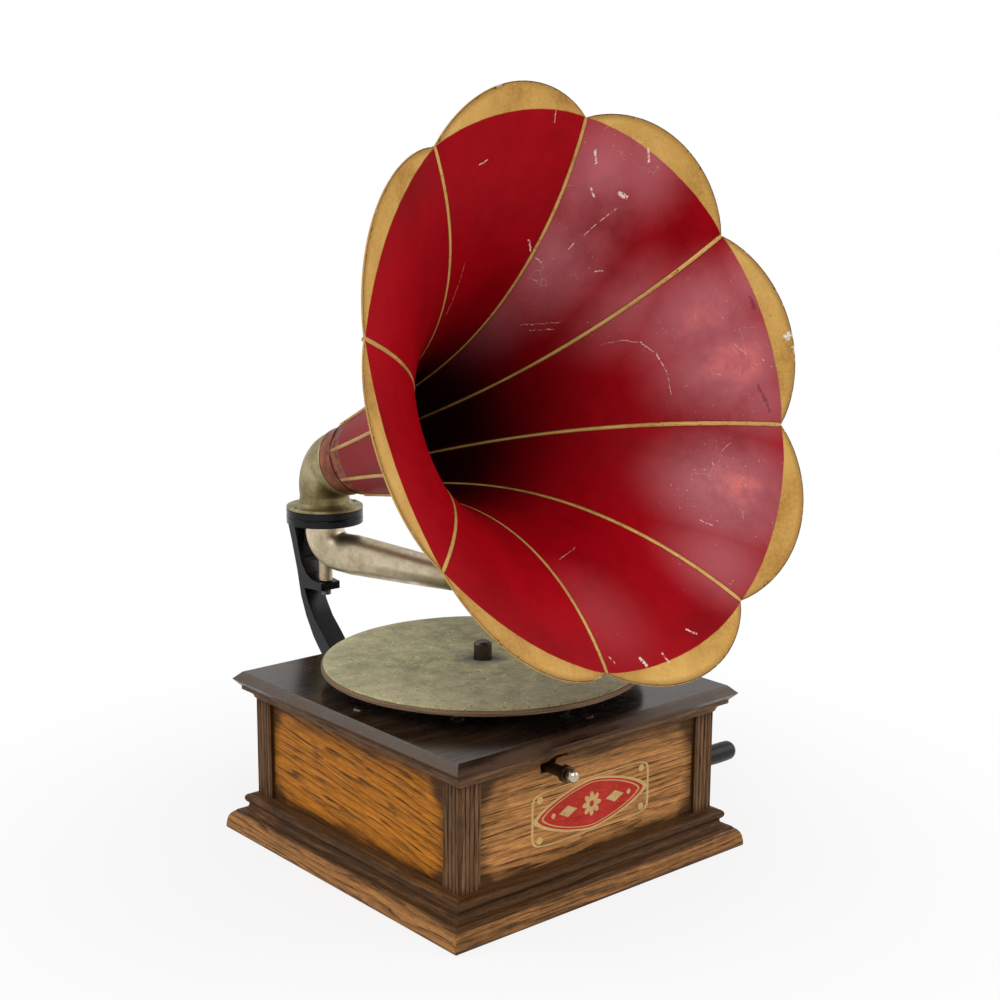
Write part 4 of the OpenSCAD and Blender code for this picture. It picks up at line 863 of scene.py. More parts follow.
def arc(centre, radius, start, end, steps):
    """Points (across, up) on a circle's arc, angles in degrees."""
    turns = [math.radians(start + (end - start) * i / steps) for i in range(steps + 1)]
    return [(centre[0] + radius * math.cos(a), centre[1] + radius * math.sin(a)) for a in turns]


def frame_of(origin, z_axis, x_axis):
    """A frame whose Z runs along z_axis and whose X is close to x_axis."""
    z = Vector(z_axis).normalized()
    x = (Vector(x_axis) - z * z.dot(Vector(x_axis))).normalized()
    y = z.cross(x)
    matrix = Matrix.Identity(4)
    for column, axis in enumerate((x, y, z, Vector(origin))):
        for row in range(3):
            matrix[row][column] = axis[row]
    return matrix


def copied(node, name):
    """A new object with a merged copy of a solid's mesh."""
    piece = blank(name)
    piece.data = bpy.data.objects[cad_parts[node].name].data.copy()
    piece.data.name = name
    work = bmesh.new()
    work.from_mesh(piece.data)
    bmesh.ops.remove_doubles(work, verts=work.verts, dist=2e-6)
    bmesh.ops.dissolve_limit(
        work, angle_limit=math.radians(1.0), verts=work.verts, edges=work.edges,
        use_dissolve_boundaries=False,
    )
    work.to_mesh(piece.data)
    work.free()
    return piece


def applied(piece):
    """The piece with its modifiers worked into its mesh."""
    evaluated = piece.evaluated_get(bpy.context.evaluated_depsgraph_get())
    mesh = bpy.data.meshes.new_from_object(
        evaluated, preserve_all_data_layers=True, depsgraph=bpy.context.evaluated_depsgraph_get(),
    )
    piece.modifiers.clear()
    piece.data = mesh
    return piece


def softened(node, name, width, crease=28.0, segments=3):
    """A copy of a solid whose sharp edges are rounded by width millimetres."""
    piece = copied(node, name)
    bevel = piece.modifiers.new("Rounded edges", "BEVEL")
    bevel.width = width * MM
    bevel.segments = segments
    bevel.limit_method = "ANGLE"
    bevel.angle_limit = math.radians(crease)
    bevel.harden_normals = False
    bevel.use_clamp_overlap = True
    smooth(applied(piece).data, 40.0)
    weighted = piece.modifiers.new("Flat faces stay flat", "WEIGHTED_NORMAL")
    weighted.weight = 90
    weighted.keep_sharp = True
    return applied(piece)


def new_tree(name, sizes, takes_geometry=False):
    """A Geometry Nodes tree with one input for each (name, socket type), and its inputs' sockets by name."""
    tree = bpy.data.node_groups.new(name, "GeometryNodeTree")
    if takes_geometry:
        tree.interface.new_socket("Geometry", in_out="INPUT", socket_type="NodeSocketGeometry")
    for size, kind in sizes:
        tree.interface.new_socket(size, in_out="INPUT", socket_type="NodeSocket" + kind)
    tree.interface.new_socket("Geometry", in_out="OUTPUT", socket_type="NodeSocketGeometry")
    graph = Graph(tree)
    source = tree.nodes.new("NodeGroupInput")
    inputs = {output.name: Socket(graph, output) for output in source.outputs if output.name}
    return graph, inputs


def end_tree(graph, geometry):
    """Ends a tree: its instances are made real."""
    real = graph.add("GeometryNodeRealizeInstances", {0: geometry})
    graph.feed(graph.tree.nodes.new("NodeGroupOutput").inputs[0], real)


def grow(piece, graph, values):
    """Runs a tree on a piece with these input values, and keeps the result as a plain mesh."""
    modifier = piece.modifiers.new("Rule", "NODES")
    modifier.node_group = graph.tree
    for item in graph.tree.interface.items_tree:
        if item.in_out == "INPUT" and item.name in values:
            modifier[item.identifier] = values[item.name]
    bpy.context.view_layer.update()
    return applied(piece)


# Inputs that the horn's two trees share
HORN_SIZES = [
    ("Petals", "Int"), ("Rows", "Int"), ("Throat radius", "Float"), ("Notch radius", "Float"),
    ("Length", "Float"), ("Petal rise", "Float"), ("Petal reach", "Float"), ("Thickness", "Float"),
]


def horn_rule(size, along, bulge):
    """Where the horn's inside runs, as distance along its axis and out from it, for along from 0 to 1."""
    flare = size["Notch radius"] - size["Throat radius"] - size["Length"] * CONE_SLOPE
    seam = (
        size["Throat radius"] + size["Length"] * CONE_SLOPE * along
        + flare * (along ** 3.35 * 0.886 + along ** 14.0 * 0.114)
    )
    edge = along ** 5.0
    down = size["Length"] * along + size["Petal rise"] * bulge * edge + THROAT_S * MM
    out = seam * (1.0 - bulge * 0.03 * (1.0 - edge)) + size["Petal reach"] * bulge * edge
    return down, out


def petals_tree():
    """The painted sheet: a grid bent by the horn's rule, given its thickness and set in its place."""
    g, size = new_tree("Petal horn", HORN_SIZES + [
        ("Steps across", "Int"), ("Inside", "Material"), ("Outside", "Material"), ("Edge", "Material"),
    ])
    grid = g.add("GeometryNodeMeshGrid", {
        "Size X": 1.0, "Size Y": 1.0,
        "Vertices X": size["Petals"] * size["Steps across"] + 1, "Vertices Y": size["Rows"] + 1,
    })
    x, y, _ = g.split(g.add("GeometryNodeInputPosition"))
    around = (x + 0.5) * size["Petals"]
    across = around.fraction()
    along = 1.0 - (0.5 - y).most(0.0) ** 1.5
    bulge = (across * (1.0 - across) * 4.0).most(0.0)
    down, out = horn_rule(size, along, bulge ** 0.93)
    turn = HORN_PHASE - around * (2 * math.pi) / size["Petals"]
    from_top = 1.0 - along
    marks = {
        "petal_bulge": bulge,
        "along_horn": along,
        "from_rim": from_top * (0.687 - from_top * 1.01).most(0.3) * (1.0 + bulge * 0.15),
        "from_seam": across.least(1.0 - across) * (2 * math.pi) / size["Petals"] * out,
    }
    sheet = grid
    for name, value in marks.items():
        sheet = g.add("GeometryNodeStoreNamedAttribute", {"Geometry": sheet, "Name": name, "Value": value},
            {"data_type": "FLOAT", "domain": "POINT"})
    place = g.join(turn.cosine() * out, turn.sine() * out, down)
    sheet = g.add("GeometryNodeSetPosition", {"Geometry": sheet, "Position": place})
    sheet = g.add("GeometryNodeMergeByDistance", {"Geometry": sheet, "Distance": 1e-5})
    normal = g.add("GeometryNodeInputNormal")
    wall = g.add("GeometryNodeExtrudeMesh", {
        "Mesh": sheet, "Offset": normal, "Offset Scale": -size["Thickness"], "Individual": False,
    }, {"mode": "FACES"})
    top = Socket(g, wall.link.node.outputs["Top"])
    side = Socket(g, wall.link.node.outputs["Side"])
    wall = g.add("GeometryNodeSetMaterial", {"Geometry": wall, "Selection": top, "Material": size["Outside"]})
    wall = g.add("GeometryNodeSetMaterial", {"Geometry": wall, "Selection": side, "Material": size["Edge"]})
    wall = g.add("GeometryNodeFlipFaces", {"Mesh": wall})
    sheet = g.add("GeometryNodeSetMaterial", {"Geometry": sheet, "Material": size["Inside"]})
    both = g.add("GeometryNodeJoinGeometry", {0: sheet})
    g.feed(both.link.node.inputs[0], wall)
    closed = g.add("GeometryNodeMergeByDistance", {"Geometry": both, "Distance": 1e-6})
    end_tree(g, in_horn_place(g, closed))
    return g


def in_horn_place(g, geometry):
    """Moves what is drawn about Z to the horn's axis."""
    turn = frame_of((0, 0, 0), HORN_AXIS, HORN_RIGHT).to_euler()
    corner = tuple(MM * c for c in ELBOW_CORNER)
    values = {"Geometry": geometry, "Translation": corner, "Rotation": tuple(turn)}
    return g.add("GeometryNodeTransform", values)


def ribs_tree():
    """The raised seams: one bead that follows the rule along a seam, and its turned copies."""
    g, size = new_tree("Horn ribs", HORN_SIZES + [
        ("Bead radius", "Float"), ("Start", "Float"), ("Gold", "Material"),
    ])
    line = g.add("GeometryNodeCurvePrimitiveLine", {"Start": (0, 0, 0), "End": (0, 0, 1)})
    line = g.add("GeometryNodeResampleCurve", {"Curve": line, "Count": size["Rows"]})
    factor = g.add("GeometryNodeSplineParameter", out="Factor")
    along = size["Start"] + factor * (1.0 - size["Start"])
    down, out = horn_rule(size, along, 0.0 * factor)
    down_after, out_after = horn_rule(size, along + 0.01, 0.0 * factor)
    run = down_after - down
    rise = out_after - out
    length = (run * run + rise * rise) ** 0.5
    lift = size["Thickness"] / length
    place = g.join(out + lift * run, 0.0, down - lift * rise)
    line = g.add("GeometryNodeSetPosition", {"Geometry": line, "Position": place})
    section = g.add("GeometryNodeCurvePrimitiveCircle", {"Resolution": 12, "Radius": size["Bead radius"]})
    bead = g.add("GeometryNodeCurveToMesh", {"Curve": line, "Profile Curve": section, "Fill Caps": True})
    points = g.add("GeometryNodePoints", {"Count": size["Petals"], "Position": (0, 0, 0)})
    number = g.add("GeometryNodeInputIndex")
    turn = g.add("FunctionNodeAxisAngleToRotation", {
        "Axis": (0, 0, 1), "Angle": HORN_PHASE - number * (2 * math.pi) / size["Petals"],
    })
    copies = g.add("GeometryNodeInstanceOnPoints", {"Points": points, "Instance": bead, "Rotation": turn})
    copies = g.add("GeometryNodeRealizeInstances", {0: copies})
    copies = g.add("GeometryNodeSetMaterial", {"Geometry": copies, "Material": size["Gold"]})
    end_tree(g, in_horn_place(g, copies))
    return g


def horn_values(settings):
    """The sizes that the horn's trees share, in metres."""
    return {
        "Petals": PETALS,
        "Rows": settings.rows,
        "Throat radius": settings.throat_radius,
        "Notch radius": settings.notch_radius,
        "Length": (NOTCH_S - THROAT_S) * MM,
        "Petal rise": settings.petal_rise,
        "Petal reach": settings.petal_reach,
        "Thickness": settings.thickness,
    }


# How much further each screw of a set is turned than the last, and how far the first is, in radians
SLOT_STEP = 1.9
SLOT_TURN = 0.6


def screws_tree():
    """Slotted round-headed screws, one on each point of the geometry, standing along the point's axis."""
    g, size = new_tree("Slotted screws", [
        ("Head radius", "Float"), ("Head height", "Float"), ("Shank radius", "Float"),
        ("Shank length", "Float"), ("Slot turn", "Float"), ("Axis", "Vector"), ("Steel", "Material"),
    ], takes_geometry=True)
    ball = g.add("GeometryNodeMeshUVSphere", {"Segments": 32, "Rings": 24, "Radius": 1.0})
    x, y, z = g.split(g.add("GeometryNodeInputPosition"))
    ball = g.add("GeometryNodeSetPosition", {
        "Geometry": ball, "Position": g.join(x, y, z.most(0.0)),
    })
    ball = g.add("GeometryNodeMergeByDistance", {"Geometry": ball, "Distance": 1e-4})
    head = g.add("GeometryNodeTransform", {
        "Geometry": ball, "Scale": g.join(size["Head radius"], size["Head radius"], size["Head height"]),
    })
    slot = g.add("GeometryNodeMeshCube", {"Size": g.join(
        size["Head radius"] * 2.4, size["Head radius"] * 0.2, size["Head height"],
    )})
    slot = g.add("GeometryNodeTransform", {
        "Geometry": slot, "Translation": g.join(0.0, 0.0, size["Head height"]),
    })
    settings = {"operation": "DIFFERENCE", "solver": "EXACT"}
    head = g.add("GeometryNodeMeshBoolean", {0: head, 1: slot}, settings)
    shank = g.add("GeometryNodeMeshCylinder", {
        "Vertices": 24, "Radius": size["Shank radius"], "Depth": size["Shank length"],
    })
    shank = g.add("GeometryNodeTransform", {
        "Geometry": shank, "Translation": g.join(0.0, 0.0, size["Shank length"] * -0.5 - 0.00001),
    })
    screw = g.add("GeometryNodeJoinGeometry", {0: head})
    g.feed(screw.link.node.inputs[0], shank)
    number = g.add("GeometryNodeInputIndex")
    spin = g.add("FunctionNodeAxisAngleToRotation", {
        "Axis": (0, 0, 1), "Angle": number * SLOT_STEP + size["Slot turn"],
    })
    sockets = {"Rotation": spin, "Vector": size["Axis"]}
    lean = g.add("FunctionNodeAlignRotationToVector", sockets, {"axis": "Z"})
    copies = g.add("GeometryNodeInstanceOnPoints", {
        "Points": size["Geometry"], "Instance": screw, "Rotation": lean,
    })
    copies = g.add("GeometryNodeRealizeInstances", {0: copies})
    end_tree(g, g.add("GeometryNodeSetMaterial", {"Geometry": copies, "Material": size["Steel"]}))
    return g


def screws(name, points, axis, head, shank, material, node, body="cabinet"):
    """Makes one set of screws. head and shank are (radius, height or length) in millimetres."""
    piece = blank(name)
    piece.data.from_pydata([tuple(MM * c for c in point) for point in points], [], [])
    grow(piece, screws_tree(), {
        "Head radius": head[0] * MM, "Head height": head[1] * MM, "Shank radius": shank[0] * MM,
        "Shank length": shank[1] * MM, "Slot turn": SLOT_TURN, "Axis": axis, "Steel": material,
    })
    smooth(piece.data, 40.0)
    return dress(piece, body, [material], node)


def refinish(material, *nodes):
    """Gives solids whose shape is right a new material."""
    for node in nodes:
        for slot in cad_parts[node].material_slots:
            slot.material = material


class GRAMOPHONE_OT_boards(bpy.types.Operator):
    """Oak for the case's boards, and the transfer on the front one"""

    bl_idname = "gramophone.boards"
    bl_label = "Case boards"

    def execute(self, context):
        tone = context.scene.gramophone_case
        front = oak("oak_front", tone.light_oak, tone.dark_oak, 0, shade=board_edge_shade, over=badge_over)
        side = oak("oak_side", tone.golden_oak, tone.dark_oak, 1, shade=board_edge_shade, lean=-0.09)
        back = oak("oak_back", tone.golden_oak, tone.dark_oak, 0, shade=board_edge_shade)
        refinish(front, "front_panel")
        refinish(side, "left_panel", "right_panel")
        refinish(back, "back_panel", "bottom_board")
        return {"FINISHED"}


# Outlines of the base moulding and the cornice: distance out from the middle, and height
BASE_PROFILE = [
    (PANEL_HALF, 0.3), (PANEL_HALF + 0.3, 0), (BASE_OUT - 0.6, 0), (BASE_OUT - 0.05, 0.6),
    (BASE_OUT - 0.2, 4.2),
    *arc((BASE_OUT - 10.5, 6), 9.8, 5, 62, 12),
    (BASE_OUT - 6.6, 15.6),
    *arc((BASE_OUT - 7.4, 21.6), 6.4, 250, 182, 10),
    *arc((BASE_OUT - 15.0, 25.6), 3.9, 300, 450, 14),
    (PILASTER_OUT, BASE_H), (PANEL_HALF, BASE_H),
]

CORNICE_PROFILE = [
    (PANEL_HALF, CORNICE_Z), (PILASTER_OUT, CORNICE_Z),
    *arc((CORNICE_OUT, CORNICE_Z), CORNICE_OUT - PILASTER_OUT - 1, 172, 100, 12),
    (CORNICE_OUT - 0.3, DECK_Z - 2.9), (CORNICE_OUT, DECK_Z - 2.5), (CORNICE_OUT, DECK_Z),
    (PANEL_HALF, DECK_Z),
]


def moulding(name, profile, material, node):
    """Four mitred lengths of a moulding. Its UV map runs along each length, in metres, as the grain does."""
    points, faces, grain = [], [], []
    down = [0.0]
    for before, after in zip(profile, profile[1:]):
        down.append(down[-1] + math.dist(before, after))
    down.append(down[-1] + math.dist(profile[-1], profile[0]))
    count = len(profile)
    for side in range(4):
        turn = Matrix.Rotation(side * math.pi / 2, 4, "Z")
        start = len(points)
        for end in (-1, 1):
            for out, height in profile:
                points.append(turn @ Vector((end * (out - MITRE_GAP), -out, height)))
        for k in range(count):
            after = (k + 1) % count
            a, b, c, d = k, after, count + after, count + k
            faces.append((start + a, start + d, start + c, start + b))
            u0, u1 = (-profile[k][0] * MM, profile[k][0] * MM)
            v0, v1 = down[k] * MM + side * 0.37, down[k + 1] * MM + side * 0.37
            grain.append([(u0, v0), (u1, v0), (u1, v1), (u0, v1)])
        for end in (0, 1):
            loop = [start + end * count + k for k in range(count)]
            faces.append(tuple(loop if end == 0 else reversed(loop)))
            flat = [(0.4 + profile[k][0] * MM, profile[k][1] * MM) for k in range(count)]
            grain.append(flat if end == 0 else flat[::-1])
    piece = blank(name)
    mesh = piece.data
    mesh.from_pydata([tuple(MM * c for c in point) for point in points], [], faces)
    layer = mesh.uv_layers.new(name="grain")
    corner = 0
    for loops in grain:
        for uv in loops:
            layer.data[corner].uv = uv
            corner += 1
    clean(mesh)
    smooth(mesh, 32.0)
    return dress(piece, "cabinet", [material], node)


# Where the start lever's bright tip begins, in metres
LEVER_TIP_Y = -0.1476
# The start lever's slot, in millimetres: a place in it, and its outline round that place, across and up
LEVER_X = -44.6
LEVER_Z = 105.9
SLOT_OUTLINE = [
    (-6.8, -4.4), (6.6, -4.4), (7.3, 0.5), (8.9, 3.3), (11.1, 4.2),
    (16.6, 4.6), (16.6, 8.2), (4.0, 9.1), (-6.8, 3.7),
]


def cut_slot(piece):
    """Cuts the lever's slot through a piece at the front of the case."""
    cutter = blank("slot_cutter")
    count = len(SLOT_OUTLINE)
    points = [
        (LEVER_X + x, y, LEVER_Z + z)
        for y in (-CORNICE_OUT - 1, -PANEL_HALF + 12) for x, z in SLOT_OUTLINE
    ]
    faces = [tuple(range(count)), tuple(reversed(range(count, 2 * count)))]
    faces += [(k, count + k, count + (k + 1) % count, (k + 1) % count) for k in range(count)]
    set_mesh(cutter, points, faces)
    cut = piece.modifiers.new("Slot", "BOOLEAN")
    cut.object = cutter
    cut.operation = "DIFFERENCE"
    cut.solver = "EXACT"
    applied(piece)
    bpy.data.objects.remove(cutter)


class GRAMOPHONE_OT_mouldings(bpy.types.Operator):
    """The base moulding and the cornice, mitred at the corners"""

    bl_idname = "gramophone.mouldings"
    bl_label = "Mouldings"

    def execute(self, context):
        tone = context.scene.gramophone_case
        base = oak("oak_moulding", tone.light_oak, tone.dark_oak, 0, place="grain", shade=base_moulding_shade)
        moulding("base_lengths", BASE_PROFILE, base, "base_moulding")
        top = oak("oak_cornice", tone.reed_oak, tone.dark_oak, 0, place="grain", kept=0.9)
        cut_slot(moulding("cornice_lengths", CORNICE_PROFILE, top, "cornice_moulding"))
        return {"FINISHED"}


class GRAMOPHONE_OT_deck(bpy.types.Operator):
    """The lid with its bevelled edge, in dark varnish"""

    bl_idname = "gramophone.deck"
    bl_label = "Lid"

    def execute(self, context):
        dress(softened("top_board", "lid", 0.7), "cabinet", [dark_deck()], "top_board")
        return {"FINISHED"}


class GRAMOPHONE_OT_pilasters(bpy.types.Operator):
    """The reeded corner angles"""

    bl_idname = "gramophone.pilasters"
    bl_label = "Pilasters"

    def execute(self, context):
        tone = context.scene.gramophone_case
        pitch = (PILASTER_W - 2 * REED_MARGIN) / REEDS
        round_r = pitch * 0.5
        reed_line = []
        for index in range(REEDS):
            middle = BOARD_HALF + REED_MARGIN + pitch * (index + 0.5)
            reed_line += [
                (middle + (round_r - 0.25) * math.cos(a), -round_r * 0.55 + round_r * 0.55 * math.sin(a))
                for a in np.linspace(math.pi, 0, 9)
            ]
        side_a = [(x, PILASTER_OUT + drop) for x, drop in reed_line]
        side_b = [(PILASTER_OUT + drop, x) for x, drop in reversed(reed_line)]
        outline = [
            (BOARD_HALF, PANEL_HALF), (BOARD_HALF, PILASTER_OUT - 0.3),
            (BOARD_HALF + 0.3, PILASTER_OUT), *side_a,
            (PILASTER_OUT - 0.4, PILASTER_OUT), (PILASTER_OUT, PILASTER_OUT - 0.4), *side_b,
            (PILASTER_OUT, BOARD_HALF + 0.3), (PILASTER_OUT - 0.3, BOARD_HALF),
            (PANEL_HALF, BOARD_HALF), (PANEL_HALF, PANEL_HALF),
        ]
        points, faces = [], []
        count = len(outline)
        for corner in range(4):
            turn = Matrix.Rotation(corner * math.pi / 2, 4, "Z")
            start = len(points)
            points += [turn @ Vector((x, y, z)) for z in (BASE_H, CORNICE_Z) for x, y in outline]
            faces.append(tuple(range(start, start + count)))
            faces.append(tuple(range(start + 2 * count - 1, start + count - 1, -1)))
            for k in range(count):
                after = (k + 1) % count
                faces.append((start + k, start + after, start + count + after, start + count + k))
        wood = oak("oak_reeds", tone.reed_oak, tone.dark_oak, 2, shade=reed_groove_shade)
        build("reeded_corners", (points, faces), "cabinet", wood, "corner_pilasters", 42.0)
        return {"FINISHED"}


class GRAMOPHONE_OT_turntable(bpy.types.Operator):
    """The platter, its felt and the spindle"""

    bl_idname = "gramophone.turntable"
    bl_label = "Turntable"

    def execute(self, context):
        upright = Matrix.Identity(4)
        hub_r = SPINDLE_R - 0.35
        platter = [
            (hub_r, HUB_Z), (hub_r, PLATE_Z1), (TABLE_R - 0.7, PLATE_Z1), (TABLE_R - 0.2, PLATE_Z1 - 0.25),
            (TABLE_R, PLATE_Z1 - 0.8), (TABLE_R, PLATE_Z0 + 0.8), (TABLE_R - 0.25, PLATE_Z0 + 0.2),
            (TABLE_R - 0.8, PLATE_Z0), (TABLE_R - 19.0, PLATE_Z0), (TABLE_R - 19.4, PLATE_Z0 + 2.0),
            (HUB_R + 0.6, PLATE_Z0 + 2.0), (HUB_R, PLATE_Z0 + 1.5),
            (HUB_R, HUB_Z + 0.4), (HUB_R - 0.4, HUB_Z),
        ]
        shape = turned(platter, upright, TABLE_SIDES)
        build("platter", shape, "turntable", laminated_rim(), "turntable_plate", 35.0)
        felt_r = TABLE_R - FELT_INSET
        felt_z = PLATE_Z1 + FELT_T
        cloth = [
            (SPINDLE_R + 0.3, PLATE_Z1), (SPINDLE_R + 0.3, felt_z - 0.3), (SPINDLE_R + 0.8, felt_z),
            *[(r, felt_z) for r in np.linspace(20, felt_r - 3, 9)],
            (felt_r - 0.8, felt_z - 0.1), (felt_r - 0.15, felt_z - 0.5), (felt_r, PLATE_Z1 + 0.5),
            (felt_r - 0.1, PLATE_Z1),
        ]
        points, faces = turned(cloth, upright, TABLE_SIDES)
        for point in points:
            reach = math.hypot(point.x, point.y)
            turn = math.atan2(point.y, point.x)
            if reach > felt_r - 2:
                ragged = 1 + 0.0011 * math.sin(11 * turn + 1.3) * math.sin(29 * turn)
                ragged += 0.0006 * math.sin(67 * turn)
                point.x *= ragged
                point.y *= ragged
        piece = build("felt_disc", (points, faces), "turntable", felt_cloth(), "turntable_felt", 60.0)
        steel = worn_metal("browned_steel", (96, 84, 74), (52, 44, 40), 0.34, spots=0.4)
        dress(softened("spindle", "spindle_pin", 0.5), "turntable", [steel], "spindle")
        return {"FINISHED"}


class GRAMOPHONE_OT_bracket(bpy.types.Operator):
    """The cast bracket that carries the horn and the arm"""

    bl_idname = "gramophone.bracket"
    bl_label = "Bracket"

    def execute(self, context):
        enamel = black_enamel()
        dress(softened("rear_bracket", "cast_bracket", 1.1, 24.0), "cabinet", [enamel], "rear_bracket")
        steel = worn_metal("pivot_steel", (150, 146, 138), (92, 88, 82), 0.32)
        refinish(steel, "pivot_screw")
        return {"FINISHED"}


def elbow_rings():
    """Rings of the elbow: its foot, its bend and its mouth."""
    bend = math.radians(90) - HORN_TILT
    radius = ELBOW_BEND / math.tan(bend / 2)
    side = Vector((math.sin(HORN_TURN), -math.cos(HORN_TURN), 0))
    up = Vector((0, 0, 1))
    centre = ELBOW_CORNER + radius * side - ELBOW_BEND * up
    foot = [
        (0.0, RING_R - 0.5), (0.5, RING_R), (FLANGE_T - 0.5, RING_R), (FLANGE_T, RING_R - 0.5),
        (FLANGE_T + 0.02, 27.0), (FLANGE_T + 1.0, 24.6), (FLANGE_T + 3, 22.6), (FLANGE_T + 7, 21.6),
    ]
    rings = [(Vector((0, RING_Y, RING_TOP + z)), -HORN_RIGHT, side, r, FOOT_BORE) for z, r in foot]
    for step in range(BEND_STEPS + 1):
        t = step / BEND_STEPS
        across = math.cos(bend * t) * side - math.sin(bend * t) * up
        outer = ELBOW_R0 + (ELBOW_R1 - ELBOW_R0) * t
        rings.append((centre - radius * across, -HORN_RIGHT, across, outer, outer - PIPE_WALL))
    across = math.cos(bend) * side - math.sin(bend) * up
    mouth = [(27.0, 28.3), (31.0, 28.9), (31.4, 29.5), (FERRULE_S0 - 0.6, 29.6), (FERRULE_S0 - 0.3, 29.2)]
    for s, outer in mouth:
        rings.append((ELBOW_CORNER + s * HORN_AXIS, -HORN_RIGHT, across, outer, MOUTH_BORE))
    return rings


class GRAMOPHONE_OT_elbow(bpy.types.Operator):
    """The cast elbow between the bracket's ring and the horn"""

    bl_idname = "gramophone.elbow"
    bl_label = "Elbow"

    def execute(self, context):
        metal = worn_metal("green_nickel", (176, 162, 122), (116, 104, 70), 0.36, spots=0.35)
        build("elbow", tube(elbow_rings(), 64), "cabinet", metal, "horn_elbow")
        return {"FINISHED"}


def arm_radius(s):
    return float(np.interp(s, [0, 29, 84, ARM_LEN], [ARM_R, ARM_R + 0.6, 14.7, ARM_END_R]))


def arm_rings():
    """Rings of the tone arm: its upright in the ring, its bend and its tapering length."""
    up = Vector((0, 0, 1))
    top = RING_TOP - 0.4
    rings = []
    collar = [(top, 3.3), (top - 0.2, 3.5), (top - 2.8, 3.5), (top - 3.0, 3.3), (top - 3.1, 0), (222.5, 0)]
    for z, extra in collar:
        rings.append((Vector((0, RING_Y, z)), ARM_SIDE, ARM_FLAT, ARM_R + extra, ARM_R - PIPE_WALL))
    bend = math.radians(90) - ARM_SLOPE
    radius = ARM_BEND / math.tan(bend / 2)
    centre = ARM_CORNER + radius * ARM_FLAT + Vector((0, 0, ARM_BEND))
    for step in range(BEND_STEPS + 1):
        turn = bend * step / BEND_STEPS
        across = math.cos(turn) * ARM_FLAT + math.sin(turn) * up
        rings.append((centre - radius * across, ARM_SIDE, across, ARM_R, ARM_R - PIPE_WALL))
    across = ARM_DIR.cross(ARM_SIDE)
    stations = [(s, 0.0) for s in (29, 40, 56, 70, 84, 110, 140, 165, 178, 179)]
    stations += [(179.4, 0.6), (180.4, 1.0), (181.4, 0.6), (182, 0.0), (ARM_LEN - 0.3, 0.0), (ARM_LEN, -0.3)]
    for s, bead in stations:
        outer = arm_radius(s)
        rings.append((ARM_CORNER + s * ARM_DIR, ARM_SIDE, across, outer + bead, outer - PIPE_WALL))
    return rings


def arm_place():
    """Turns what is drawn with the arm along X to where the arm rests."""
    return Matrix.Translation((0, RING_Y, 0)) @ Matrix.Rotation(ARM_YAW, 4, "Z")


class GRAMOPHONE_OT_tone_arm(bpy.types.Operator):
    """The tone arm and its gooseneck"""

    bl_idname = "gramophone.tone_arm"
    bl_label = "Tone arm"

    def execute(self, context):
        metal = worn_metal("arm_nickel", (226, 212, 184), (170, 154, 124), 0.33, spots=0.25)
        build("arm_tube", tube(arm_rings(), 64), "tone_arm", metal, "tone_arm")
        refinish(metal, "tonearm_lug")
        flat = ARM_LEN * math.cos(ARM_SLOPE) + 0.4
        drop = math.tan(ARM_SLOPE)
        on = flat + GOOSENECK_RUN
        p = [Vector(v) for v in (
            (flat, 0, ARM_CORNER.z - flat * drop), (on, 0, ARM_CORNER.z - on * drop), (BOX_X, 0, BOX_Z),
            (BOX_X, BOX_BACK_Y, BOX_Z),
        )]
        place = arm_place()
        turn = place.to_3x3()
        rings = []
        for step in range(BEND_STEPS + 1):
            t = step / BEND_STEPS
            q = 1 - t
            at = q ** 3 * p[0] + 3 * q * q * t * p[1] + 3 * q * t * t * p[2] + t ** 3 * p[3]
            head = (q * q * (p[1] - p[0]) + 2 * q * t * (p[2] - p[1]) + t * t * (p[3] - p[2])).normalized()
            side = Vector((0, 0, 1)).cross(head).normalized()
            outer = ARM_END_R + (GOOSENECK_R - ARM_END_R) * t
            rings.append((place @ at, turn @ side, turn @ head.cross(side), outer, outer - GOOSENECK_WALL))
        build("gooseneck_tube", tube(rings), "sound_box", metal, "gooseneck")
        return {"FINISHED"}


class GRAMOPHONE_OT_sound_box(bpy.types.Operator):
    """The sound box: housing, diaphragm, stylus bar and needle"""

    bl_idname = "gramophone.sound_box"
    bl_label = "Sound box"

    def execute(self, context):
        place = arm_place()
        turn = place.to_3x3()
        back = place @ Vector((BOX_X, BOX_BACK_Y - 0.1, BOX_Z))
        from_back = frame_of(back, turn @ Vector((0, -1, 0)), turn @ Vector((1, 0, 0)))
        r = BOX_R
        profile = [
            (5.5, 0), (10, 0), (10.6, 0.6), (17, 0.9), (r - 2.0, 1.4), (r - 0.5, 2.4), (r, 3.6),
            (r - 0.6, 4.6), (r - 0.6, 7.4), (r, 8.2), (r, 10.8), (r - 0.5, 11.7), (r - 1.4, BOX_T),
            (r - 2.4, 11.7), (r - 3, 10.9), (r - 3, 2.4), (5.5, 2.0),
        ]
        nickel = worn_metal("box_nickel", (206, 200, 186), (150, 140, 120), 0.22, spots=0.25)
        build("box_shell", turned(profile, from_back), "sound_box", nickel, "soundbox_housing")
        mica = worn_metal("box_disc", (196, 190, 176), (160, 152, 136), 0.4, spots=0.1, metallic=0.6)
        refinish(mica, "soundbox_diaphragm")
        steel = worn_metal("needle_steel", (186, 182, 174), (120, 114, 106), 0.28)
        refinish(steel, "stylus_bar", "needle_screw")
        return {"FINISHED"}


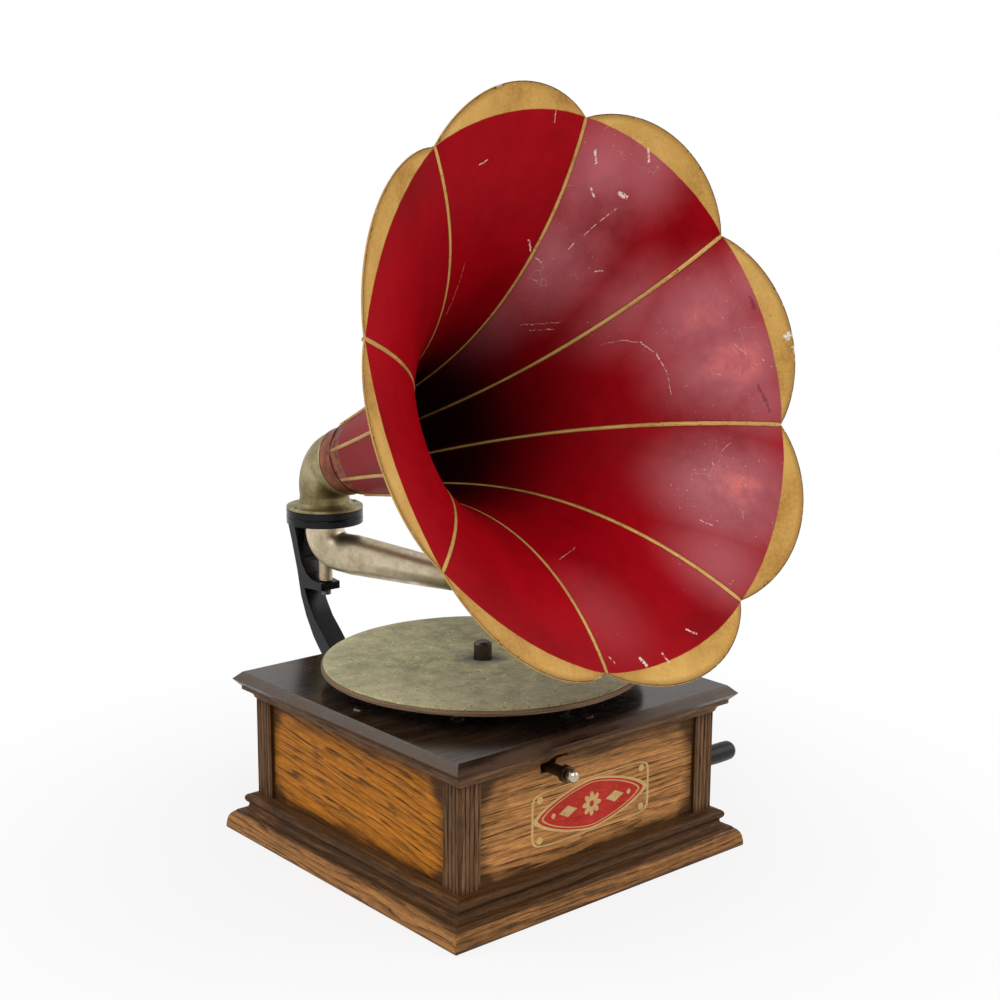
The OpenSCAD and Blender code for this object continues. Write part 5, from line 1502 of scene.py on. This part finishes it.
class GRAMOPHONE_OT_horn(bpy.types.Operator):
    """The painted horn of eight petals"""

    bl_idname = "gramophone.horn"
    bl_label = "Horn"

    def execute(self, context):
        settings = context.scene.gramophone_horn
        inside, outside = horn_inside(), horn_outside()
        edge = bronze_line("edge_gold")
        piece = grow(blank("petal_horn"), petals_tree(), {
            **horn_values(settings),
            "Steps across": settings.steps_across,
            "Inside": inside, "Outside": outside, "Edge": edge,
        })
        smooth(piece.data, 50.0)
        dress(piece, "horn", [], "horn_bell")
        return {"FINISHED"}


class GRAMOPHONE_OT_ribs(bpy.types.Operator):
    """The raised gold seams on the horn's back"""

    bl_idname = "gramophone.ribs"
    bl_label = "Horn ribs"

    def execute(self, context):
        settings = context.scene.gramophone_horn
        piece = grow(blank("seam_ribs"), ribs_tree(), {
            **horn_values(settings),
            "Bead radius": settings.bead_radius, "Start": 0.02, "Gold": bronze_line(),
        })
        smooth(piece.data, 60.0)
        dress(piece, "horn", [], "horn_ribs")
        return {"FINISHED"}


class GRAMOPHONE_OT_ferrule(bpy.types.Operator):
    """The copper-brown ferrule between elbow and horn"""

    bl_idname = "gramophone.ferrule"
    bl_label = "Ferrule"

    def execute(self, context):
        sleeve = THROAT_R * 0.965 - 0.3
        profile = [
            (25.6, 28.3), (26.9, 28.3), (26.9, FERRULE_S0), (28.7, FERRULE_S0), (29.1, FERRULE_S0 + 0.5),
            (29.6, 40), (30.2, 46), (THROAT_R - 0.4, FERRULE_S1 - 4.2), (THROAT_R + 0.5, FERRULE_S1 - 3.6),
            (THROAT_R + 1.1, FERRULE_S1 - 3.0), (THROAT_R + 1.4, FERRULE_S1 - 2.4),
            (THROAT_R + 1.3, THROAT_S - 0.2), (sleeve, THROAT_S - 0.2), (sleeve, FERRULE_S1 + 4),
            (sleeve - 1.5, FERRULE_S1 + 4), (27.6, FERRULE_S0 + 2),
        ]
        shape = turned(profile, frame_of(ELBOW_CORNER, HORN_AXIS, HORN_RIGHT))
        copper = worn_metal("worn_copper", (176, 104, 74), (104, 54, 40), 0.32, spots=0.5)
        build("copper_ferrule", shape, "horn", copper, "horn_ferrule")
        return {"FINISHED"}


class GRAMOPHONE_OT_crank(bpy.types.Operator):
    """The winding crank and its black grip"""

    bl_idname = "gramophone.crank"
    bl_label = "Crank"

    def execute(self, context):
        steel = worn_metal("crank_steel", (110, 102, 92), (58, 52, 48), 0.34, spots=0.4)
        dress(softened("crank_arm", "crank_rod", 0.4), "crank", [steel], "crank_arm")
        refinish(steel, "crank_shaft", "crank_bearing")
        low, high = (Vector(corner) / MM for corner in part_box("crank_grip"))
        middle = (low + high) / 2
        length = high.x - low.x
        r = (high.z - low.z) / 2
        end_turns = np.linspace(0.25, math.pi / 2 - 0.02, 10)
        profile = [
            (3.1, 0.4), (3.5, 0.0), (r * 0.68, 0.0), (r * 0.72, 0.5), (r * 0.76, 2.4), (r * 0.80, 3.4),
            (r * 0.86, 6.0), (r * 0.95, length * 0.36), (r, length * 0.6), (r * 0.99, length * 0.76),
            *[(r * math.cos(a), length - r + r * math.sin(a)) for a in end_turns],
            (0.0, length), (0.0, length - 7.2), (3.1, length - 7.2),
        ]
        shape = turned(profile, frame_of((low.x, middle.y, middle.z), (1, 0, 0), (0, 1, 0)), 64)

        def make(g):
            at = g.place()
            cloud = g.noise(at, 70.0, 4.0)
            fine = g.noise(at, 480.0, 3.0, 0.7)
            lines = g.noise(g.scaled(at, 900, 60, 60), 1.0, 2.0)
            return {
                "Base Color": g.blend(cloud, (8, 7, 8), (22, 20, 20)),
                "Roughness": 0.24 + cloud * 0.14 + fine * 0.1,
                "Normal": g.bump(lines * 0.4 + fine * 0.5, 0.0001),
            }

        black = finish_material("black_grip", make, **{"Specular IOR Level": 0.25})
        build("turned_grip", shape, "grip", black, "crank_grip")
        return {"FINISHED"}


class GRAMOPHONE_OT_brake(bpy.types.Operator):
    """The start and stop lever that comes through the front board"""

    bl_idname = "gramophone.brake"
    bl_label = "Start lever"

    def execute(self, context):
        def make(g):
            at = g.place()
            fine = g.noise(at, 420.0, 4.0, 0.7)
            cloud = g.noise(at, 90.0, 4.0)
            tip = g.split(at)[1].ease(LEVER_TIP_Y, LEVER_TIP_Y - 0.0005)
            rod = g.blend(cloud, (60, 48, 38), (98, 80, 62))
            bright = g.blend(fine, (168, 156, 132), (206, 196, 176))
            return {
                "Base Color": g.blend(tip, rod, bright),
                "Roughness": 0.38 - tip * 0.16 + fine * 0.1,
                "Normal": g.bump(fine, 0.00006),
            }

        metal = finish_material("lever_bronze", make, Metallic=1.0)
        dress(softened("brake_lever", "start_lever", 0.5), "brake_lever", [metal], "brake_lever")
        return {"FINISHED"}


class GRAMOPHONE_OT_screws(bpy.types.Operator):
    """The slotted screws of the lid, the elbow and the bracket"""

    bl_idname = "gramophone.screws"
    bl_label = "Screws"

    def execute(self, context):
        steel = worn_metal("screw_steel", (176, 168, 152), (104, 94, 80), 0.3, spots=0.5)
        dark = worn_metal("deck_screw_steel", (120, 108, 92), (66, 56, 48), 0.34, spots=0.5)
        inset = PANEL_HALF - 5.0
        turns = (0, math.pi / 2, math.pi, -math.pi / 2)
        deck = [(inset * math.sin(a), -inset * math.cos(a), CASE_H) for a in turns]
        high = Vector(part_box("top_board_screws")[1]) / MM
        screws("lid_screws", deck, (0, 0, 1), (4.0, high.z - CASE_H), (1.9, 20.0), dark, "top_board_screws")
        high = Vector(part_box("elbow_screws")[1]) / MM
        seat = RING_TOP + FLANGE_T + 0.05
        reach = RING_R - 3.1
        ring = [
            (reach * math.cos(math.radians(a)), RING_Y + reach * math.sin(math.radians(a)), seat)
            for a in range(-5, 355, 90)
        ]
        head, shank = (2.4, high.z - seat), (1.5, FLANGE_T - 0.1)
        screws("elbow_screw_set", ring, (0, 0, 1), head, shank, steel, "elbow_screws")
        high = Vector(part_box("bracket_screws")[1]) / MM
        seat = PANEL_HALF + 7.0
        plate = [(x, seat, z) for x in (-19.0, 19.0) for z in (53.0, 91.0)]
        head, shank = (5.0, high.y - seat), (2.5, 14.0)
        screws("bracket_screw_set", plate, (0, 1, 0), head, shank, steel, "bracket_screws")
        return {"FINISHED"}


# Name, bright and dull colour, gloss, what else the metal has, and the solids that it is on
MOTOR_METALS = (
    ("motor_steel", (172, 170, 164), (112, 110, 106), 0.3, {"brushed": 0}, (
        "motor_top_plate", "motor_bottom_plate", "governor_bearings", "brake_bracket", "governor_lever",
    )),
    ("motor_shafts", (190, 188, 182), (130, 128, 122), 0.22, {"brushed": 2}, (
        "motor_pillars", "motor_bolts", "layshaft", "barrel_arbor", "governor_shaft", "layshaft_pinion",
        "spindle_pinion", "winding_pinion", "winding_wheel", "ratchet_wheel", "ratchet_click",
    )),
    ("motor_brass", (206, 168, 92), (142, 106, 52), 0.3, {}, (
        "layshaft_wheel", "great_wheel", "governor_disc", "governor_weights", "barrel_cover",
    )),
    (
        "spring_steel", (74, 84, 110), (44, 46, 60), 0.3, {},
        ("mainspring", "click_spring", "governor_springs"),
    ),
    ("fibre_wheel", (164, 116, 66), (108, 72, 40), 0.55, {"metallic": 0.0}, ("governor_wheel",)),
    ("motor_iron", (78, 78, 76), (44, 44, 44), 0.42, {}, ("brake_rod", "spring_barrel")),
)


class GRAMOPHONE_OT_motor(bpy.types.Operator):
    """Machined steel and brass for the spring motor inside the case"""

    bl_idname = "gramophone.motor"
    bl_label = "Spring motor"

    def execute(self, context):
        for name, bright, dull, gloss, more, nodes in MOTOR_METALS:
            refinish(worn_metal(name, bright, dull, gloss, **more), *nodes)
        return {"FINISHED"}


def soft_lamp(name, place, target, size, power):
    """A square area lamp that faces target."""
    light = bpy.data.lights.new(name, "AREA")
    light.shape = "SQUARE"
    light.size = size
    light.energy = power
    lamp = bpy.data.objects.new(name, light)
    lamp.location = place
    lamp.rotation_euler = (Vector(target) - Vector(place)).to_track_quat("-Z", "Y").to_euler()
    bpy.context.scene.collection.objects.link(lamp)


def pale_floor(brightness):
    """A floor that keeps the object's shadow and turns to plain white far from it."""
    material = bpy.data.materials.new("pale_floor")
    material.use_nodes = True
    g = Graph(material.node_tree)
    material.node_tree.nodes.clear()
    x, y, _ = g.split(g.place())
    away = (x * x + y * y) ** 0.5
    rays = g.add("ShaderNodeLightPath").link.node
    seen = Socket(g, rays.outputs["Is Camera Ray"]).most(Socket(g, rays.outputs["Is Glossy Ray"]))
    seen = seen.most(Socket(g, rays.outputs["Is Transmission Ray"]))
    matt = g.add("ShaderNodeBsdfDiffuse", {"Color": (brightness, brightness, brightness, 1.0)})
    white = g.add("ShaderNodeEmission", {"Color": (1, 1, 1, 1), "Strength": 1.0})
    amount = (away.ease(0.20, 0.6) * 0.22 + 0.78) * seen
    surface = g.add("ShaderNodeMixShader", {0: amount, 1: matt, 2: white})
    output = material.node_tree.nodes.new("ShaderNodeOutputMaterial")
    g.feed(output.inputs["Surface"], surface)
    return material


class GRAMOPHONE_OT_stage(bpy.types.Operator):
    """The floor, the soft lamps, the white surround and the camera"""

    bl_idname = "gramophone.stage"
    bl_label = "Stage"

    def execute(self, context):
        settings = context.scene.gramophone_stage
        scene = context.scene
        floor = blank("floor")
        floor.data.from_pydata([(-9, -9, 0), (9, -9, 0), (9, 9, 0), (-9, 9, 0)], [], [(0, 1, 2, 3)])
        floor.data.materials.append(pale_floor(settings.floor_tone))
        world = bpy.data.worlds.new("White surround")
        world.use_nodes = True
        scene.world = world
        g = Graph(world.node_tree)
        world.node_tree.nodes.clear()
        rays = g.add("ShaderNodeLightPath").link.node
        seen = Socket(g, rays.outputs["Is Camera Ray"])
        glossy = Socket(g, rays.outputs["Is Glossy Ray"])
        strength = (seen * (1.0 - settings.surround) + settings.surround).most(glossy * settings.mirrored)
        light = g.add("ShaderNodeBackground", {"Color": (1, 1, 1, 1), "Strength": strength})
        g.feed(world.node_tree.nodes.new("ShaderNodeOutputWorld").inputs["Surface"], light)
        soft_lamp("key", (-0.9, -1.5, 2.1), (0, 0, 0.25), 1.6, settings.key_power)
        soft_lamp("fill", (1.9, -1.2, 1.3), (0, 0, 0.3), 1.5, settings.fill_power)
        soft_lamp("back", (-1.2, 1.6, 1.7), (0, 0, 0.3), 1.4, settings.back_power)
        back = Vector((
            math.sin(CAMERA_TURN) * math.cos(CAMERA_RISE), -math.cos(CAMERA_TURN) * math.cos(CAMERA_RISE),
            math.sin(CAMERA_RISE),
        ))
        right = Vector((0, 0, 1)).cross(back).normalized()
        up = back.cross(right)
        right, up = (
            math.cos(CAMERA_ROLL) * right + math.sin(CAMERA_ROLL) * up,
            -math.sin(CAMERA_ROLL) * right + math.cos(CAMERA_ROLL) * up,
        )
        matrix = Matrix.Identity(4)
        for column, axis in enumerate((right, up, back, CAMERA_AT)):
            for row in range(3):
                matrix[row][column] = axis[row]
        camera = bpy.data.cameras.new("photo_view")
        camera.sensor_width = SENSOR_MM
        camera.sensor_fit = "HORIZONTAL"
        camera.lens = LENS_MM
        viewer = bpy.data.objects.new("photo_view", camera)
        viewer.matrix_world = matrix
        scene.collection.objects.link(viewer)
        scene.camera = viewer
        scene.view_settings.view_transform = "Standard"
        return {"FINISHED"}


def colour_setting(name, text, red, green, blue):
    return bpy.props.FloatVectorProperty(
        name=name, description=text, subtype="COLOR", size=3, min=0, max=1,
        default=paint(red, green, blue)[:3],
    )


def number_setting(name, text, value, **more):
    return bpy.props.FloatProperty(name=name, description=text, default=value, min=0, **more)


def length_setting(name, text, millimetres):
    return number_setting(name, text, millimetres * MM, subtype="DISTANCE", unit="LENGTH")


class CaseSettings(bpy.types.PropertyGroup):
    """Colours of the case's wood"""

    light_oak: colour_setting("Light oak", "Lightest grain of the front and the base", 214, 150, 86)
    golden_oak: colour_setting("Golden oak", "Lightest grain of the sides and the back", 226, 140, 32)
    reed_oak: colour_setting("Reed oak", "Lightest grain of the reeds and the cornice", 130, 97, 68)
    dark_oak: colour_setting("Dark oak", "Darkest grain of all the oak", 84, 50, 20)


class HornSettings(bpy.types.PropertyGroup):
    """Sizes of the horn's sheet and its ribs"""

    throat_radius: length_setting("Throat radius", "Radius where the horn meets its ferrule", THROAT_R)
    notch_radius: length_setting("Notch radius", "Radius at the notches between the petals", NOTCH_R)
    petal_reach: length_setting("Petal reach", "How far a petal stands out past the notches", PETAL_OUT)
    petal_rise: length_setting("Petal rise", "How far a petal runs on past the notches", PETAL_ON)
    thickness: length_setting("Thickness", "Thickness of the sheet", WALL)
    bead_radius: length_setting("Bead radius", "Radius of the raised seams", 1.6)
    steps_across: bpy.props.IntProperty(
        name="Steps across", description="Faces across a petal", default=24, min=6,
    )
    rows: bpy.props.IntProperty(name="Rows", description="Faces along the horn", default=72, min=12)


class StageSettings(bpy.types.PropertyGroup):
    """Lamps and floor"""

    key_power: number_setting("Key", "Lamp at the front left", 26.0, unit="POWER")
    fill_power: number_setting("Fill", "Lamp at the right", 14.0, unit="POWER")
    back_power: number_setting("Back", "Lamp behind the case", 10.0, unit="POWER")
    surround: number_setting("Surround", "Light of the white surround", 0.55)
    mirrored: number_setting("Mirrored", "Surround as metal shows it", 0.8)
    floor_tone: number_setting("Floor", "Paleness of the floor", 0.85, max=1)


OPERATORS = (
    GRAMOPHONE_OT_stage,
    GRAMOPHONE_OT_boards,
    GRAMOPHONE_OT_mouldings,
    GRAMOPHONE_OT_pilasters,
    GRAMOPHONE_OT_deck,
    GRAMOPHONE_OT_motor,
    GRAMOPHONE_OT_turntable,
    GRAMOPHONE_OT_bracket,
    GRAMOPHONE_OT_elbow,
    GRAMOPHONE_OT_tone_arm,
    GRAMOPHONE_OT_sound_box,
    GRAMOPHONE_OT_horn,
    GRAMOPHONE_OT_ribs,
    GRAMOPHONE_OT_ferrule,
    GRAMOPHONE_OT_crank,
    GRAMOPHONE_OT_brake,
    GRAMOPHONE_OT_screws,
)


class GRAMOPHONE_PT_sidebar(bpy.types.Panel):
    """Lists the settings and the pieces"""

    bl_idname = "GRAMOPHONE_PT_sidebar"
    bl_label = "Gramophone"
    bl_space_type = "VIEW_3D"
    bl_region_type = "UI"
    bl_category = "Gramophone"

    def draw(self, context):
        for title, group in SETTINGS.items():
            box = self.layout.box()
            box.label(text=title.replace("gramophone_", "").capitalize())
            for name in group.__annotations__:
                box.prop(getattr(context.scene, title), name)
        for operator in OPERATORS:
            self.layout.operator(operator.bl_idname)


SETTINGS = {
    "gramophone_case": CaseSettings,
    "gramophone_horn": HornSettings,
    "gramophone_stage": StageSettings,
}
CLASSES = (*SETTINGS.values(), *OPERATORS, GRAMOPHONE_PT_sidebar)


def register():
    for item in CLASSES:
        bpy.utils.register_class(item)
    for name, group in SETTINGS.items():
        setattr(bpy.types.Scene, name, bpy.props.PointerProperty(type=group))


def unregister():
    for name in SETTINGS:
        delattr(bpy.types.Scene, name)
    for item in reversed(CLASSES):
        bpy.utils.unregister_class(item)


def main():
    register()
    for operator in OPERATORS:
        getattr(bpy.ops.gramophone, operator.bl_idname.split(".")[1])()


if __name__ == "__main__":
    main()
